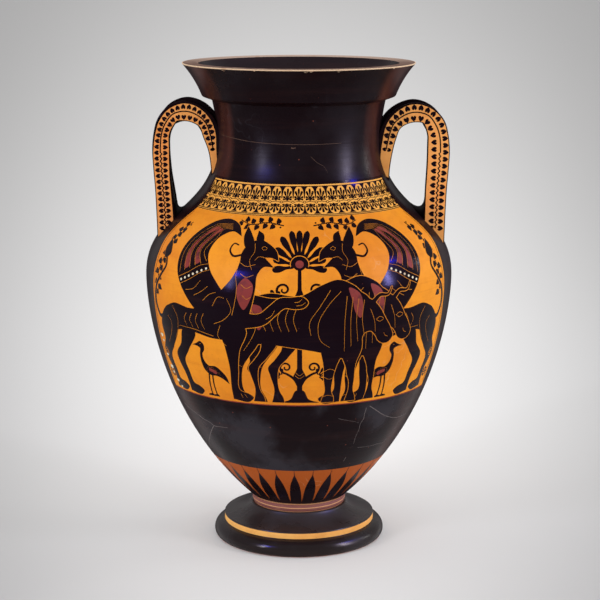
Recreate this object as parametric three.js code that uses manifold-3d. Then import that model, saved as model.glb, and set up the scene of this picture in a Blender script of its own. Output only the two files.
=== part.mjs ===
// A large terracotta belly amphora with flanged handles and a foot in two degrees.
// It is built from the sections that a potter throws or pulls and then lutes together: foot, collar,
// lower and upper body, neck, mouth, and for each handle a strap between two flanges.
// Millimetres, +Z up, origin at the centre of the foot's resting face. The handles lie along X.
import * as THREE from 'three';
import { mergeVertices } from 'three/addons/utils/BufferGeometryUtils.js';
import Module from 'manifold-3d';

const wasm = await Module();
wasm.setup();

// Foot, in two degrees
const LOWER_DEGREE_RADIUS = 112.6; // widest point of the rolled lower degree
const LOWER_DEGREE_HEIGHT = 20.5;
const LOWER_DEGREE_TUCK = 5.1; // how far the roll draws in to the resting ring
const REST_RING_WIDTH = 25.5;
const UPPER_DEGREE_STEP = 13.7; // how far the upper degree is set in
const UPPER_DEGREE_HEIGHT = 9.6; // its upright edge
const FOOT_EDGE_ROUND = 1.2; // rounding at the top of the upright edge
const FOOT_SEAT_RISE = 14.9; // from the upper degree's edge up to the seat of the body
const FOOT_SEAT_LEDGE = 3.5; // how far the seat reaches out past the collar
const FOOT_HOLLOW_DEPTH = 26; // of the hollow under the foot

// Collar, a fillet of clay that covers the joint of foot and body
const COLLAR_RADIUS = 60;
const COLLAR_WIDTH = 10; // from its outside in to the stem that it is pressed onto
const COLLAR_HEIGHT = 10;
const COLLAR_BULGE = 1.6;
const COLLAR_GAP = 0.3; // round the stem

// Body
const BASE_OVERHANG = 0.9; // how far the wall's foot reaches out past the collar
const BELLY_RADIUS = 198.3;
const BELLY_RISE = 299; // from the top of the collar to the widest point
const WALL = 8.5;
const FLOOR = 12; // thickness of the closed bottom above the foot
const LOWER_SPREAD = THREE.MathUtils.degToRad(48.2); // the wall's lean from upright as it leaves the base
const BODY_JOINT_DROP = 36; // from the widest point down to the seam of the two thrown sections

// Neck and mouth
const NECK_RADIUS = 105.6;
const SHOULDER_RISE = 176; // from the belly's widest point to the neck's narrowest
const SHOULDER_JOINT_DROP = 44; // from the neck's narrowest point down to the seam with the shoulder
const MOUTH_JOINT_RISE = 6; // from there up to the seam with the mouth
const NECK_FLARE = 5.6; // how far the neck opens out again towards the mouth
const NECK_FLARE_RISE = 48.5;
const LIP_LEDGE = 12.6; // how far the lip stands out from the neck
const LIP_LEDGE_RISE = 4.5;
const LIP_FLARE = 25.6; // how far the lip flares from its lower edge to the rim
const LIP_RISE = 42;
const LIP_HOLLOW = 2.1; // how far the flaring lip curves in from a straight line
const RIM_WIDTH = 20.5; // the flat top of the mouth
const THROAT_DROP = 7; // from the top of the neck down to where the mouth's inside meets the bore

// Handles, each a strap between two flanges
const HANDLE_DEPTH = 60; // front to back, over the flanges
const HANDLE_INSET = 22.9; // from the belly's outside in to the middle of the upright stretch
const HANDLE_TOP_DROP = 14.7; // from the top of the neck down to the middle of the loop's top
const HANDLE_FOOT_RISE = 41; // from the belly's widest point up to the end of the lower root, in the wall
const HANDLE_ROOT_DROP = 54; // from the neck's narrowest point down to the end of the upper root
const FLANGE_THICKNESS = 9;
const FLANGE_CHAMFER = 1.6;
const FLANGE_WIDTH = 25; // the painted face, widest on the upright stretch
const STRAP_THICKNESS = 12;
const STRAP_CROWN = 1.6; // how far the strap's faces curve
const ROOT_GAP = 0.3; // luting gap between a root and the wall that it meets

// Fineness of the faceted solids
const TURN_FACETS = 56;
const HANDLE_STATIONS = 30;
const WALL_STEPS = 11;
const INNER_STEPS = 8;
const NECK_STEPS = 3;
const LIP_STEPS = 5;
const SWEEP_STEPS = 7;
const ROLL_STEPS = 6;
const BULGE_STEPS = 4;
const CROWN_STEPS = 4;

// Colours of the fired clay and of the black gloss painted over it
const CLAY = new THREE.Color(0.83, 0.42, 0.13);
const GLOSS = new THREE.Color(0.035, 0.026, 0.025);
const PURPLE = new THREE.Color(0.33, 0.13, 0.11);

// Radii and heights that follow from the sizes above
const restRadius = LOWER_DEGREE_RADIUS - LOWER_DEGREE_TUCK;
const hollowRadius = restRadius - REST_RING_WIDTH;
const upperDegreeRadius = LOWER_DEGREE_RADIUS - UPPER_DEGREE_STEP;
const upperDegreeTop = LOWER_DEGREE_HEIGHT + UPPER_DEGREE_HEIGHT;
const seatRadius = COLLAR_RADIUS + FOOT_SEAT_LEDGE;
const seatHeight = upperDegreeTop + FOOT_SEAT_RISE;
const stemRadius = COLLAR_RADIUS - COLLAR_WIDTH;
const baseRadius = COLLAR_RADIUS + BASE_OVERHANG;
const baseHeight = seatHeight + COLLAR_HEIGHT;
const bellyHeight = baseHeight + BELLY_RISE;
const waistHeight = bellyHeight + SHOULDER_RISE;
const bodyJointHeight = bellyHeight - BODY_JOINT_DROP;
const shoulderJointHeight = waistHeight - SHOULDER_JOINT_DROP;
const mouthJointHeight = waistHeight + MOUTH_JOINT_RISE;
const neckTopRadius = NECK_RADIUS + NECK_FLARE;
const neckTopHeight = waistHeight + NECK_FLARE_RISE;
const lipRadius = neckTopRadius + LIP_LEDGE;
const lipHeight = neckTopHeight + LIP_LEDGE_RISE;
const rimRadius = lipRadius + LIP_FLARE;
const rimHeight = lipHeight + LIP_RISE;
const handleReach = BELLY_RADIUS - HANDLE_INSET;
const handleTopHeight = neckTopHeight - HANDLE_TOP_DROP;
const handleFootHeight = bellyHeight + HANDLE_FOOT_RISE;
const handleRootHeight = waistHeight - HANDLE_ROOT_DROP;

const MERGE_SHARE = 1e-6; // vertices closer than this share of the belly's radius are one

const point = (radius, height) => new THREE.Vector2(radius, height);
const clayMaterial = () => new THREE.MeshStandardMaterial({ color: CLAY, roughness: 0.55, metalness: 0 });
const glossMaterial = () => new THREE.MeshStandardMaterial({ color: GLOSS, roughness: 0.3, metalness: 0 });
const purpleMaterial = () => new THREE.MeshStandardMaterial({ color: PURPLE, roughness: 0.7, metalness: 0 });

// Points of a cubic curve that lie between two heights, with the ends cut exactly at those heights.
function stretchOfCurve(curve, lowHeight, highHeight, steps) {
  const atHeight = (height) => {
    let low = 0;
    let high = 1;
    for (let halving = 0; halving < 40; halving += 1) {
      const middle = (low + high) / 2;
      if (curve.getPoint(middle).y < height) low = middle;
      else high = middle;
    }
    return low;
  };
  const start = atHeight(lowHeight);
  const end = atHeight(highHeight);
  const points = [];
  for (let step = 0; step <= steps; step += 1) {
    points.push(curve.getPoint(start + ((end - start) * step) / steps));
  }
  points[0].y = lowHeight;
  points[steps].y = highHeight;
  return points;
}

// The outer line of the wall from the base to the belly, and from the belly over the shoulder to the neck.
const LOWER_PULL_SHARE = 0.5; // length of the lower curve's first pull, of the belly's rise
const BELLY_PULL_SHARE = 0.197; // length of its second pull, of the belly's rise
const SHOULDER_PULL_SHARE = 0.466; // length of the upper curve's first pull, of the shoulder's rise
const NECK_PULL_SHARE = 0.551; // length of its second pull, of the shoulder's rise

function lowerWallCurve() {
  const pull = BELLY_RISE * LOWER_PULL_SHARE;
  return new THREE.CubicBezierCurve(
    point(baseRadius, baseHeight),
    point(baseRadius + pull * Math.sin(LOWER_SPREAD), baseHeight + pull * Math.cos(LOWER_SPREAD)),
    point(BELLY_RADIUS, bellyHeight - BELLY_RISE * BELLY_PULL_SHARE),
    point(BELLY_RADIUS, bellyHeight),
  );
}

function upperWallCurve() {
  return new THREE.CubicBezierCurve(
    point(BELLY_RADIUS, bellyHeight),
    point(BELLY_RADIUS, bellyHeight + SHOULDER_RISE * SHOULDER_PULL_SHARE),
    point(NECK_RADIUS, waistHeight - SHOULDER_RISE * NECK_PULL_SHARE),
    point(NECK_RADIUS, waistHeight),
  );
}

function neckFlareCurve() {
  return new THREE.QuadraticBezierCurve(
    point(NECK_RADIUS, waistHeight),
    point(NECK_RADIUS, waistHeight + NECK_FLARE_RISE / 2),
    point(neckTopRadius, neckTopHeight),
  );
}

// The wall's outer line from one height to another, across the curves that it is made of.
function outerLine(lowHeight, highHeight, steps) {
  const stretches = [
    [lowerWallCurve(), baseHeight, bellyHeight],
    [upperWallCurve(), bellyHeight, waistHeight],
    [neckFlareCurve(), waistHeight, neckTopHeight],
  ];
  const points = [];
  for (const [curve, bottom, top] of stretches) {
    const low = Math.max(lowHeight, bottom);
    const high = Math.min(highHeight, top);
    if (high <= low) continue;
    const share = (high - low) / (highHeight - lowHeight);
    const part = stretchOfCurve(curve, low, high, Math.max(2, Math.round(steps * share)));
    points.push(...(points.length ? part.slice(1) : part));
  }
  return points;
}

// A line moved sideways along its normals: inwards for a positive distance, outwards for a negative one.
function offsetLine(points, distance) {
  return points.map((here, index) => {
    const before = points[Math.max(0, index - 1)];
    const after = points[Math.min(points.length - 1, index + 1)];
    const along = after.clone().sub(before).normalize();
    return point(here.x - along.y * distance, here.y + along.x * distance);
  });
}

// The wall's inner line between two heights, from the top down, with both ends cut at those heights.
function innerLine(lowHeight, highHeight, steps) {
  const low = Math.max(baseHeight, lowHeight - WALL);
  const high = Math.min(neckTopHeight, highHeight + WALL);
  const moved = offsetLine(outerLine(low, high, steps * 4), WALL);
  const radiusAt = (height) => {
    const index = moved.findIndex((spot) => spot.y >= height);
    if (index <= 0) return moved[index === 0 ? 0 : moved.length - 1].x;
    const [below, above] = [moved[index - 1], moved[index]];
    return below.x + ((above.x - below.x) * (height - below.y)) / (above.y - below.y);
  };
  const points = [];
  for (let step = 0; step <= steps; step += 1) {
    const height = highHeight - ((highHeight - lowHeight) * step) / steps;
    points.push(point(radiusAt(height), height));
  }
  return points;
}

const upperBodyLine = () => outerLine(bodyJointHeight, shoulderJointHeight, WALL_STEPS);
const neckLine = () => outerLine(shoulderJointHeight, mouthJointHeight, NECK_STEPS);
const mouthNeckLine = () => outerLine(mouthJointHeight, neckTopHeight, NECK_STEPS);

// A solid of revolution about Z. The outline runs anticlockwise in (radius, height), and is closed here.
function turned(outline) {
  const geometry = new THREE.LatheGeometry([...outline, outline[0].clone()], TURN_FACETS);
  geometry.rotateX(Math.PI / 2);
  return geometry;
}

function footGeometry() {
  const roll = new THREE.CubicBezierCurve(
    point(restRadius, 0),
    point(LOWER_DEGREE_RADIUS + LOWER_DEGREE_TUCK / 3, LOWER_DEGREE_HEIGHT * 0.18),
    point(LOWER_DEGREE_RADIUS + LOWER_DEGREE_TUCK / 3, LOWER_DEGREE_HEIGHT * 0.86),
    point(upperDegreeRadius, LOWER_DEGREE_HEIGHT),
  );
  const sweep = new THREE.CubicBezierCurve(
    point(upperDegreeRadius - FOOT_EDGE_ROUND, upperDegreeTop),
    point(upperDegreeRadius * 0.8, upperDegreeTop + FOOT_EDGE_ROUND),
    point(seatRadius + FOOT_EDGE_ROUND * 3, (upperDegreeTop + seatHeight * 2) / 3 - FOOT_EDGE_ROUND * 2),
    point(seatRadius, seatHeight),
  );
  const hollow = new THREE.QuadraticBezierCurve(
    point(0, FOOT_HOLLOW_DEPTH),
    point(hollowRadius * 0.75, FOOT_HOLLOW_DEPTH),
    point(hollowRadius, 0),
  );
  return turned([
    ...hollow.getPoints(ROLL_STEPS),
    ...roll.getPoints(ROLL_STEPS),
    point(upperDegreeRadius, upperDegreeTop - FOOT_EDGE_ROUND),
    ...sweep.getPoints(SWEEP_STEPS),
    point(0, seatHeight),
  ]);
}

function collarGeometry() {
  const bulge = new THREE.QuadraticBezierCurve(
    point(COLLAR_RADIUS, seatHeight),
    point(COLLAR_RADIUS + COLLAR_BULGE * 2, seatHeight + COLLAR_HEIGHT / 2),
    point(COLLAR_RADIUS, baseHeight),
  );
  return turned([
    point(stemRadius + COLLAR_GAP, seatHeight),
    ...bulge.getPoints(BULGE_STEPS),
    point(stemRadius + COLLAR_GAP, baseHeight),
  ]);
}

function lowerBodyGeometry() {
  const floorHeight = seatHeight + FLOOR;
  const inside = innerLine(baseHeight + WALL * 2, bodyJointHeight, INNER_STEPS);
  const lowest = inside[inside.length - 1];
  return turned([
    point(0, seatHeight),
    point(stemRadius, seatHeight),
    point(stemRadius, baseHeight),
    ...outerLine(baseHeight, bodyJointHeight, WALL_STEPS),
    ...inside,
    point(lowest.x * 0.72, floorHeight + WALL / 4),
    point(0, floorHeight),
  ]);
}

function upperBodyGeometry() {
  return turned([
    ...upperBodyLine(),
    ...innerLine(bodyJointHeight, shoulderJointHeight, INNER_STEPS),
  ]);
}

function neckGeometry() {
  return turned([
    ...neckLine(),
    ...innerLine(shoulderJointHeight, mouthJointHeight, NECK_STEPS),
  ]);
}

function mouthGeometry() {
  const lipMiddle = point((lipRadius + rimRadius) / 2, (lipHeight + rimHeight) / 2);
  const lipRun = point(rimRadius - lipRadius, rimHeight - lipHeight);
  const inward = point(-lipRun.y, lipRun.x).normalize().multiplyScalar(LIP_HOLLOW * 2);
  const lip = new THREE.QuadraticBezierCurve(
    point(lipRadius, lipHeight),
    lipMiddle.clone().add(inward),
    point(rimRadius, rimHeight),
  );
  const bore = innerLine(mouthJointHeight, neckTopHeight - THROAT_DROP, NECK_STEPS);
  const throat = bore[0];
  const rimInside = rimRadius - RIM_WIDTH;
  const inside = new THREE.CubicBezierCurve(
    point(rimInside, rimHeight),
    point(rimInside - RIM_WIDTH / 2, rimHeight - RIM_WIDTH * 0.9),
    point(throat.x, throat.y + RIM_WIDTH),
    throat,
  );
  return turned([
    ...mouthNeckLine(),
    ...lip.getPoints(LIP_STEPS),
    ...inside.getPoints(LIP_STEPS),
    ...bore.slice(1),
  ]);
}

// The middle line of a flange in the handle's own plane, from the shoulder up, over and down the neck.
// Each row gives the reach as a share of handleReach from the neck, the height as a share of the rise
// from the lower root to the top, and the flange's width as a share of FLANGE_WIDTH.
const HANDLE_LINE_SHARES = [
  [0.937, 0, 0.96],
  [0.95, 0.207, 0.96],
  [0.966, 0.415, 0.98],
  [0.988, 0.563, 1],
  [1, 0.711, 1.02],
  [0.979, 0.818, 1],
  [0.926, 0.906, 0.94],
  [0.79, 0.967, 0.88],
  [0.585, 1, 0.85],
  [0.365, 0.967, 0.93],
  [0.201, 0.906, 0.96],
  [0.094, 0.818, 0.94],
];
// Below that the line runs down inside the neck's wall: reach, share of the way to the root's end, width.
const ROOT_LINE_SHARES = [
  [0.036, 0.35, 0.88],
  [0.007, 0.7, 0.8],
  [0.007, 1, 0.72],
];

function handleLine() {
  const span = handleReach - NECK_RADIUS;
  const rise = handleTopHeight - handleFootHeight;
  const last = HANDLE_LINE_SHARES[HANDLE_LINE_SHARES.length - 1];
  const rootStart = handleFootHeight + rise * last[1];
  const loop = HANDLE_LINE_SHARES.map(([reach, height, width]) => (
    new THREE.Vector3(NECK_RADIUS + span * reach, handleFootHeight + rise * height, width * FLANGE_WIDTH)
  ));
  const root = ROOT_LINE_SHARES.map(([reach, down, width]) => (
    new THREE.Vector3(
      NECK_RADIUS + span * reach,
      rootStart + (handleRootHeight - rootStart) * down,
      width * FLANGE_WIDTH,
    )
  ));
  return new THREE.CatmullRomCurve3([...loop, ...root], false, 'centripetal');
}

// A closed tube whose section changes along the handle's line. section(width) gives points as
// (distance inwards from the line, depth along Y), anticlockwise.
function alongHandle(section) {
  const line = handleLine();
  const positions = [];
  const indices = [];
  let count = 0;
  for (let station = 0; station <= HANDLE_STATIONS; station += 1) {
    const share = station / HANDLE_STATIONS;
    const here = line.getPointAt(share);
    const tangent = line.getTangentAt(share);
    const along = new THREE.Vector2(tangent.x, tangent.y).normalize();
    const outline = section(here.z);
    count = outline.length;
    for (const spot of outline) {
      positions.push(here.x - along.y * spot.x, spot.y, here.y + along.x * spot.x);
    }
  }
  const corner = (station, index) => station * count + (index % count);
  for (let station = 0; station < HANDLE_STATIONS; station += 1) {
    for (let index = 0; index < count; index += 1) {
      const [a, b] = [corner(station, index), corner(station, index + 1)];
      const [c, d] = [corner(station + 1, index), corner(station + 1, index + 1)];
      indices.push(a, c, b, b, c, d);
    }
  }
  const faces = THREE.ShapeUtils.triangulateShape(section(FLANGE_WIDTH), []);
  for (const [a, b, c] of faces) {
    indices.push(a, b, c);
    indices.push(
      corner(HANDLE_STATIONS, a),
      corner(HANDLE_STATIONS, c),
      corner(HANDLE_STATIONS, b),
    );
  }
  const geometry = new THREE.BufferGeometry();
  geometry.setAttribute('position', new THREE.Float32BufferAttribute(positions, 3));
  geometry.setIndex(indices);
  return geometry;
}

// A flange's section at the front (side -1) or the back (side 1), chamfered along its outer face.
function flangeSection(side) {
  const outer = (HANDLE_DEPTH / 2) * side;
  const inner = outer - FLANGE_THICKNESS * side;
  const shoulder = outer - FLANGE_CHAMFER * side;
  return (width) => {
    const half = width / 2;
    const outline = [
      new THREE.Vector2(-half, inner),
      new THREE.Vector2(half, inner),
      new THREE.Vector2(half, shoulder),
      new THREE.Vector2(half - FLANGE_CHAMFER, outer),
      new THREE.Vector2(FLANGE_CHAMFER - half, outer),
      new THREE.Vector2(-half, shoulder),
    ];
    return side > 0 ? outline : outline.reverse();
  };
}

// The strap fills the space between the flanges, flush with their inner edges and sunk between their
// outer ones. Its inner face is crowned, and its outer face is hollowed as much.
function strapSection(width) {
  const halfDepth = HANDLE_DEPTH / 2 - FLANGE_THICKNESS;
  const innerFace = width / 2 - STRAP_CROWN;
  const outerFace = innerFace - STRAP_THICKNESS;
  const crownAt = (depth) => STRAP_CROWN * (1 - (depth / halfDepth) ** 2);
  const depths = [];
  for (let step = 0; step <= CROWN_STEPS; step += 1) {
    depths.push(-halfDepth + (2 * halfDepth * step) / CROWN_STEPS);
  }
  return [
    ...depths.map((depth) => new THREE.Vector2(innerFace + crownAt(depth), depth)),
    ...depths.toReversed().map((depth) => new THREE.Vector2(outerFace + crownAt(depth), depth)),
  ];
}

function solidOf(geometry) {
  const bare = new THREE.BufferGeometry();
  bare.setAttribute('position', geometry.getAttribute('position').clone());
  if (geometry.index) bare.setIndex(geometry.index.clone());
  const merged = mergeVertices(bare, BELLY_RADIUS * MERGE_SHARE);
  const solid = new wasm.Manifold(new wasm.Mesh({
    numProp: 3,
    vertProperties: merged.getAttribute('position').array,
    triVerts: new Uint32Array(merged.index.array),
  }));
  return solid;
}

function geometryOf(solid) {
  const mesh = solid.getMesh();
  const geometry = new THREE.BufferGeometry();
  geometry.setAttribute('position', new THREE.BufferAttribute(mesh.vertProperties, mesh.numProp));
  geometry.setIndex(new THREE.BufferAttribute(mesh.triVerts, 1));
  geometry.computeVertexNormals();
  return geometry;
}

// The filled shoulder and neck, larger by the luting gap, that the handles' roots are cut to.
function wallCutter() {
  const line = [...upperBodyLine(), ...neckLine().slice(1), ...mouthNeckLine().slice(1)];
  const grown = offsetLine(line, -ROOT_GAP);
  return solidOf(turned([point(0, grown[0].y), ...grown, point(0, grown[grown.length - 1].y)]));
}

function mesh(name, geometry, material) {
  const made = new THREE.Mesh(geometry, material);
  made.name = name;
  return made;
}

// One handle, cut to the wall, of which only what lies outside the wall is kept. It is built on the +X side,
// and the left one is turned half round the axis, which swaps its front and its back.
function handle(side, cutter) {
  const turnedRound = side === 'left';
  const frontSide = turnedRound ? 1 : -1;
  const trimmed = (section) => {
    const outside = solidOf(alongHandle(section)).subtract(cutter).decompose();
    outside.sort((a, b) => b.volume() - a.volume());
    return geometryOf(outside[0]);
  };
  const group = new THREE.Group();
  group.add(mesh(`handle_${side}_strap`, trimmed(strapSection), glossMaterial()));
  group.add(mesh(`handle_${side}_front_flange`, trimmed(flangeSection(frontSide)), clayMaterial()));
  group.add(mesh(`handle_${side}_back_flange`, trimmed(flangeSection(-frontSide)), clayMaterial()));
  group.rotation.z = turnedRound ? Math.PI : 0;
  return group;
}

const amphora = new THREE.Group();
amphora.add(mesh('foot', footGeometry(), glossMaterial()));
amphora.add(mesh('foot_collar', collarGeometry(), purpleMaterial()));
amphora.add(mesh('body_lower', lowerBodyGeometry(), glossMaterial()));
amphora.add(mesh('body_upper', upperBodyGeometry(), clayMaterial()));
amphora.add(mesh('neck', neckGeometry(), glossMaterial()));
amphora.add(mesh('mouth', mouthGeometry(), glossMaterial()));

const cutter = wallCutter();
amphora.add(handle('left', cutter), handle('right', cutter));

export default amphora;
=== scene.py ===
"""A terracotta amphora of fired red clay, painted in black gloss slip.

The turned walls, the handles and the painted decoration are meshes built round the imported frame. Drawings
are in millimetres and the Blender scene is in metres. An angle round the pot is 0 at the front, on -Y, and
grows towards +X, where the right handle is.
"""
import logging
import math
from collections.abc import Callable, Iterable, Sequence
from dataclasses import dataclass, field
from enum import Enum

import bpy
import numpy as np
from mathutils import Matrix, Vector
from mathutils.geometry import delaunay_2d_cdt


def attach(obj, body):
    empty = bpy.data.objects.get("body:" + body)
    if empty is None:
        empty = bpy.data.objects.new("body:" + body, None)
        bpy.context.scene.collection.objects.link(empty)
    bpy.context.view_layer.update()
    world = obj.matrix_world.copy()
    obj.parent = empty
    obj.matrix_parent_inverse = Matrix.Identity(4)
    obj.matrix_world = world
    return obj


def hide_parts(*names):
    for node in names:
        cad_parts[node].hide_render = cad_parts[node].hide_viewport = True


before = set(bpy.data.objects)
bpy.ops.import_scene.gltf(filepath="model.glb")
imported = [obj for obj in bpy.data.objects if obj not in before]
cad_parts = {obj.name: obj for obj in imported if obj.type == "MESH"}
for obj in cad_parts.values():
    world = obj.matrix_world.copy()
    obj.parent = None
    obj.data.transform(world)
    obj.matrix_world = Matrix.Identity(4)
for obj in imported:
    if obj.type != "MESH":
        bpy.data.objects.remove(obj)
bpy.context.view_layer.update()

MM = 0.001
BODY = "root"
SHARP = 1  # third value of an outline's point that stays a corner
SLIP = 0.14  # thickness of the painted slip in millimetres
WASH = 0.06  # thickness of a thin wash of clay
SUNK = 0.1  # how deep in the clay the edges of a painted layer end
SAME = 1e-9  # distance below which two points are one
TOUCH = 1e-6  # distance in millimetres below which two rows of a wall are at one place
BAR_STEP = 3.0  # distance between the points of a painted bar
BELOW = (-1.0, -0.9)  # heights below the pot, for clay with no painted shade towards the base

Point = tuple[float, float]
Triple = tuple[float, float, float]
Outline = list[Point]
Row = tuple[float, float, float, float]  # radius, height and the normal's two parts
Socket = bpy.types.NodeSocket
Value = float | Triple | tuple[float, float, float, float] | Socket

log = logging.getLogger("amphora")


class Slot(Enum):
    """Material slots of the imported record."""

    BLACK_GLOSS = "black_gloss"
    FIRED_CLAY = "fired_clay"
    PURPLE_SLIP = "purple_slip"


class Side(Enum):
    """Which handle, seen from the front."""

    LEFT = "left"
    RIGHT = "right"


class Ink(Enum):
    """What covers a spot of a painted stretch of wall."""

    BARE = 0
    BLACK = 1
    RED = 2
    WHITE = 3


# Lines and curves

def bezier(points: Sequence[Point], share: float) -> Point:
    """Finds the point of a Bezier curve at a share of its way.

    Args:
        points: The curve's control points.
        share: How far along the curve, from 0 to 1.

    Returns:
        The point.
    """
    spots = list(points)
    while len(spots) > 1:
        spots = [(x + (u - x) * share, y + (v - y) * share) for (x, y), (u, v) in zip(spots, spots[1:])]
    return spots[0]


def tangent(before: complex, here: complex, after: complex) -> complex:
    """Gives the direction of a smooth line at its middle point, weighted by the two distances.

    Args:
        before: The point before.
        here: The middle point.
        after: The point after.

    Returns:
        The direction, about 1 long.
    """
    first, second = abs(here - before), abs(after - here)
    if min(first, second) < SAME:
        return (after - before) / 2
    return (second * (here - before) / first + first * (after - here) / second) / (first + second)


def smooth(points: Sequence[tuple], closed: bool = True, step: float = 1.2) -> Outline:
    """Draws a smooth line through points.

    Args:
        points: The line's points; one with a third value SHARP stays a corner.
        closed: Whether the line runs back to its first point.
        step: About how far apart the points of the result lie.

    Returns:
        The finer line.
    """
    spots = [complex(*point[:2]) for point in points]
    sharp = [len(point) > 2 for point in points]
    count, line = len(spots), []
    for index in range(count if closed else count - 1):
        a, b = spots[index], spots[(index + 1) % count]
        length = abs(b - a)
        if length < SAME:
            continue
        start = end = (b - a) / length
        if not sharp[index] and (closed or index > 0):
            start = tangent(spots[index - 1], a, b)
        if not sharp[(index + 1) % count] and (closed or index + 2 < count):
            end = tangent(a, b, spots[(index + 2) % count])
        steps = max(2, round(length / step))
        for t in (part / steps for part in range(steps)):
            rise = 3 * t**2 - 2 * t**3
            bend = (t**3 - 2 * t**2 + t) * start + (t**3 - t**2) * end
            line.append((1 - rise) * a + rise * b + bend * length)
    if not closed:
        line.append(spots[-1])
    return [(spot.real, spot.imag) for spot in line]


def aside(before: Point, here: Point, after: Point, distance: float) -> Point:
    """Moves a line's point to the right of the way from its neighbour before to the one after.

    Args:
        before: The neighbour before.
        here: The point.
        after: The neighbour after.
        distance: How far it moves.

    Returns:
        The moved point.
    """
    length = max(math.dist(before, after), SAME)
    x, y = (after[1] - before[1]) / length, (before[0] - after[0]) / length
    return here[0] + x * distance, here[1] + y * distance


def stroke(points: Sequence[tuple], width: float, end_width: float | None = None) -> Outline:
    """Outlines a brush stroke along a smooth line.

    Args:
        points: The middle line's points.
        width: Width at the start.
        end_width: Width at the end, or None for the same width.

    Returns:
        The closed outline.
    """
    line = smooth(points, closed=False)
    last = len(line) - 1
    change = 0 if end_width is None else end_width - width
    sides: tuple[Outline, Outline] = ([], [])
    for index, here in enumerate(line):
        half = (width + change * index / last) / 2
        for side, distance in zip(sides, (-half, half)):
            side.append(aside(line[max(0, index - 1)], here, line[min(last, index + 1)], distance))
    return sides[0] + sides[1][::-1]


def polar(angle: float, radius: float, x: float = 0.0, y: float = 0.0) -> Point:
    """Gives the point at an angle and a distance from a centre."""
    return x + radius * math.cos(angle), y + radius * math.sin(angle)


def disc(x: float, y: float, radius: float, sides: int = 14) -> Outline:
    """Outlines a round spot."""
    return [polar(2 * math.pi * side / sides, radius, x, y) for side in range(sides)]


def bar(left: float, right: float, low: float, high: float) -> Outline:
    """Outlines a level bar, with points close enough together to follow the wall.

    Args:
        left: Left end.
        right: Right end.
        low: Lower edge.
        high: Upper edge.

    Returns:
        The outline.
    """
    count = max(1, round((right - left) / BAR_STEP))
    places = [left + (right - left) * k / count for k in range(count + 1)]
    return [(x, low) for x in places] + [(x, high) for x in places[::-1]]


def spiral(x: float, y: float, turns: float, radii: Point, widths: Point) -> Outline:
    """Outlines a volute that starts below its centre and winds inwards.

    Args:
        x: Centre.
        y: Centre.
        turns: Turns that it winds through; a negative number winds clockwise.
        radii: Radius at the start and at the end.
        widths: Stroke width at the start and at the end.

    Returns:
        The closed outline.
    """
    steps = 26
    shares = [part / steps for part in range(steps + 1)]
    line = [polar((2 * turns * share - 0.5) * math.pi, radii[0] + (radii[1] - radii[0]) * share, x, y)
            for share in shares]
    return stroke(line, *widths)


def grown(outline: Outline, distance: float) -> Outline:
    """Moves a closed outline outwards by a distance.

    Args:
        outline: The outline.
        distance: How far.

    Returns:
        The larger outline.
    """
    after = outline[1:] + outline[:1]
    area = sum(a[0] * b[1] - b[0] * a[1] for a, b in zip(outline, after))
    out = math.copysign(distance, area)
    return [aside(a, here, b, out) for a, here, b in zip(outline[-1:] + outline, outline, after)]


class Profile:
    """A line of Bezier stretches in (radius, height), in millimetres, measured by its length."""

    def __init__(self, stretches: Sequence[Sequence[Point]], steps: int = 60) -> None:
        """Samples the stretches finely.

        Args:
            stretches: Control points of each stretch, which starts where the last one ends.
            steps: Samples in each stretch.
        """
        spots = [stretches[0][0]]
        for stretch in stretches:
            spots += [bezier(stretch, (part + 1) / steps) for part in range(steps)]
        self.spots = np.array(spots)
        self.lengths = lengths_along(self.spots)
        self.total = float(self.lengths[-1])
        slopes = np.gradient(self.spots, self.lengths, axis=0)
        self.normals = np.stack([slopes[:, 1], -slopes[:, 0]], axis=1)
        self.normals /= np.linalg.norm(self.normals, axis=1)[:, None]
        self.rising = slice(0, int(np.argmax(self.spots[:, 1] > self.spots[:, 1].max() - TOUCH)) + 1)

    def at(self, length: float) -> Row:
        """Gives radius, height and the outward normal at a length along the line.

        Args:
            length: Length along the line.

        Returns:
            The row.
        """
        columns = (*self.spots.T, *self.normals.T)
        radius, height, out, up = (float(np.interp(length, self.lengths, column)) for column in columns)
        size = math.hypot(out, up)
        return radius, height, out / size, up / size

    def length_at(self, height: float) -> float:
        """Gives the length at which the rising part of the line passes a height."""
        return float(np.interp(height, self.spots[self.rising, 1], self.lengths[self.rising]))

    def rows(self, start: float, end: float, step: float) -> list[Row]:
        """Gives evenly spaced rows of radius, height and normal between two lengths."""
        count = max(1, round(abs(end - start) / step))
        return [self.at(start + (end - start) * part / count) for part in range(count + 1)]


def eased(share: float | np.ndarray) -> float | np.ndarray:
    """Softens the start and the end of a share from 0 to 1."""
    return share * share * (3 - 2 * share)


def lengths_along(spots: np.ndarray) -> np.ndarray:
    """Gives how far along a line each of its points lies."""
    return np.concatenate([[0.0], np.cumsum(np.linalg.norm(np.diff(spots, axis=0), axis=1))])


# Meshes

def around(radius: float, height: float, angle: float) -> Triple:
    """Gives the place in metres at an angle round the pot, from millimetres."""
    return radius * math.sin(angle) * MM, -radius * math.cos(angle) * MM, height * MM


def facing(out: float, up: float, angle: float) -> Triple:
    """Gives the direction in space of a normal of the profile at an angle round the pot."""
    return out * math.sin(angle), -out * math.cos(angle), up


def raised(row: Row, lift: float) -> Row:
    """Moves a row out of the wall, or into it by a negative distance."""
    radius, height, out, up = row
    return radius + out * lift, height + up * lift, out, up


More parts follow.
